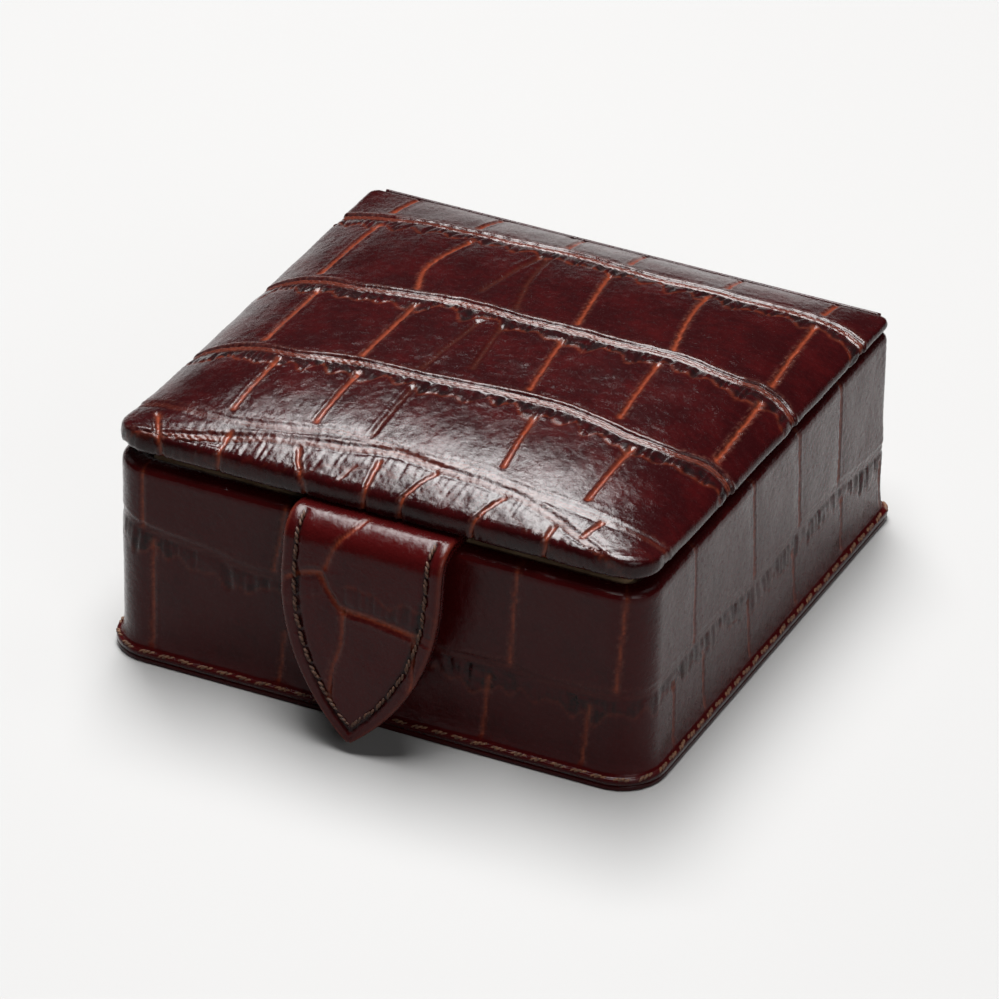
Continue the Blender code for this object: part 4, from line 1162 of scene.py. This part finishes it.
def lid_block(name, node_name, half_x, half_y, low_z, high_z, bevel, cap, crowned=False):
    """A padded block made flat in the lid's own tilt. A crowned one rises with the skin above it."""
    def into_lid(places):
        flat = places / MM
        if crowned:
            share = (flat[:, 2] - low_z) / (high_z - low_z)
            flat[:, 2] = low_z + share * (lid_top(flat[:, 0], flat[:, 1]) - FOAM_COVER - low_z)
        return lid_to_world(flat)

    low = Vector((-half_x * MM, -half_y * MM, low_z * MM))
    high = Vector((half_x * MM, half_y * MM, high_z * MM))
    piece = soft_block(name, low, high, bevel, 1.1, cap, 2.0, turned=into_lid)
    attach(piece, "lid")
    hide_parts(node_name)
    return piece


panel = lid_block("lid_panel", "lid_lining_pad", 38.0, 37.8, -0.95, 0.95, 0.6, 0.2)
foam_paint = flecked("foam_paint", 2500, 4.0, (0.55, 0.52, 0.42, 1), (0.8, 0.77, 0.66, 1))
foam = lid_block("lid_foam_pad", "lid_foam", 36, 36, 2.6, 5.6, 1.2, 0.3, crowned=True)
foam.data.materials.clear()
foam.data.materials.append(foam_paint)
print("lid panel and foam", len(panel.data.polygons), len(foam.data.polygons))

# %% [markdown]
# ## Boards and the press stud
# The boards are grey pulp board, hidden once the case is covered. The press stud that keeps
# the tab shut is brass: its post is riveted through the front wall, and its socket through
# the tab. These stay as the frame made them and only need their finish.

# %% Board and brass
BRASS_BRIGHT, BRASS_DULL = (0.76, 0.52, 0.21, 1), (0.42, 0.26, 0.10, 1)
board_paint = flecked("pulp_board", 900, 6.0, (0.16, 0.15, 0.13, 1), (0.34, 0.32, 0.28, 1))
brass, brass_tree, brass_shader = new_finish("aged_brass")
tarnish = speckle(brass_tree, object_place(brass_tree), 700, 5.0)
brass_colour = blend_colour(brass_tree, spread(brass_tree, tarnish, 0.35, 0.7), BRASS_BRIGHT, BRASS_DULL)
brass_tree.links.new(brass_colour, brass_shader.inputs["Base Color"])
brass_tree.links.new(spread(brass_tree, tarnish, 0.3, 0.7, 0.20, 0.42), brass_shader.inputs["Roughness"])
brass_shader.inputs["Metallic"].default_value = 1.0
BOARDS = ("board_front", "board_left", "board_right", "board_back", "board_floor", "lid_board")
STUD_PIECES = ("stud_post", "stud_rivet", "stud_socket", "socket_rivet")
for node_names, paint in ((BOARDS, board_paint), (STUD_PIECES, brass)):
    for node_name in node_names:
        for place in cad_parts[node_name].material_slots:
            place.material = paint
print("hidden boards and brass finished")

# %% [markdown]
# ## The floor, the lights and the camera
# A product table: a pale sweep, one big soft light above and a little behind the case, and
# weaker fills. The lid mirrors what stands behind it, so the room is kept dark there.

# %% Floor
floor = bmesh.new()
bmesh.ops.create_grid(floor, x_segments=1, y_segments=1, size=4)
floor_piece = keep_mesh("floor", floor)
floor_paint, _, floor_shader = new_finish("floor_paint")
tune(floor_shader, {"Base Color": (0.243, 0.241, 0.239, 1), "Roughness": 0.55, "Specular IOR Level": 0.25})
floor_piece.data.materials.append(floor_paint)

# %% Lights
TARGET = Vector((0, 0, 0.02))


def soft_light(name, place, wide, tall, watts):
    """An area light of the given size in metres, turned to the case."""
    lamp = bpy.data.lights.new(name, "AREA")
    lamp.shape = "RECTANGLE"
    lamp.size = wide
    lamp.size_y = tall
    lamp.energy = watts
    holder = bpy.data.objects.new(name, lamp)
    bpy.context.scene.collection.objects.link(holder)
    holder.location = place
    holder.rotation_euler = (TARGET - Vector(place)).to_track_quat("-Z", "Y").to_euler()


soft_light("overhead", (-0.14, 0.22, 1.15), 0.50, 1.16, 56)
soft_light("front_fill", (1.5, -1.2, 1.1), 1.2, 0.8, 12)
soft_light("left_fill", (-1.7, 0.2, 0.9), 0.9, 0.7, 1.5)
soft_light("back_fill", (0.9, 0.9, 2.2), 1.2, 0.6, 6)
room = bpy.data.worlds.new("room")
room.use_nodes = True
tune(room.node_tree.nodes["Background"], {"Color": (1, 1, 1, 1), "Strength": 0.03})
bpy.context.scene.world = room
bpy.context.scene.view_settings.view_transform = "Standard"

# %% Camera
AZIMUTH, ELEVATION, ROLL = math.radians(25.55), math.radians(31.60), math.radians(0.76)
DISTANCE, SHIFT_X, SHIFT_UP = 1468 * MM, -0.36 * MM, 13.32 * MM
SENSOR_WIDTH = 36.0
FOCAL_LENGTH = 324.3
level = math.cos(ELEVATION)
back = Vector((math.sin(AZIMUTH) * level, -math.cos(AZIMUTH) * level, math.sin(ELEVATION)))
right = Vector((math.cos(AZIMUTH), math.sin(AZIMUTH), 0))
up = back.cross(right)
turned_right = right * math.cos(ROLL) + up * math.sin(ROLL)
turned_up = up * math.cos(ROLL) - right * math.sin(ROLL)
lens = bpy.data.cameras.new("camera")
lens.sensor_width = SENSOR_WIDTH
lens.lens = FOCAL_LENGTH
camera = bpy.data.objects.new("camera", lens)
bpy.context.scene.collection.objects.link(camera)
turn = Matrix((turned_right, turned_up, back)).transposed().to_4x4()
place = back * DISTANCE + turned_right * SHIFT_X + turned_up * SHIFT_UP
camera.matrix_world = Matrix.Translation(place) @ turn
bpy.context.scene.camera = camera
print("camera at", [round(c, 3) for c in camera.location])
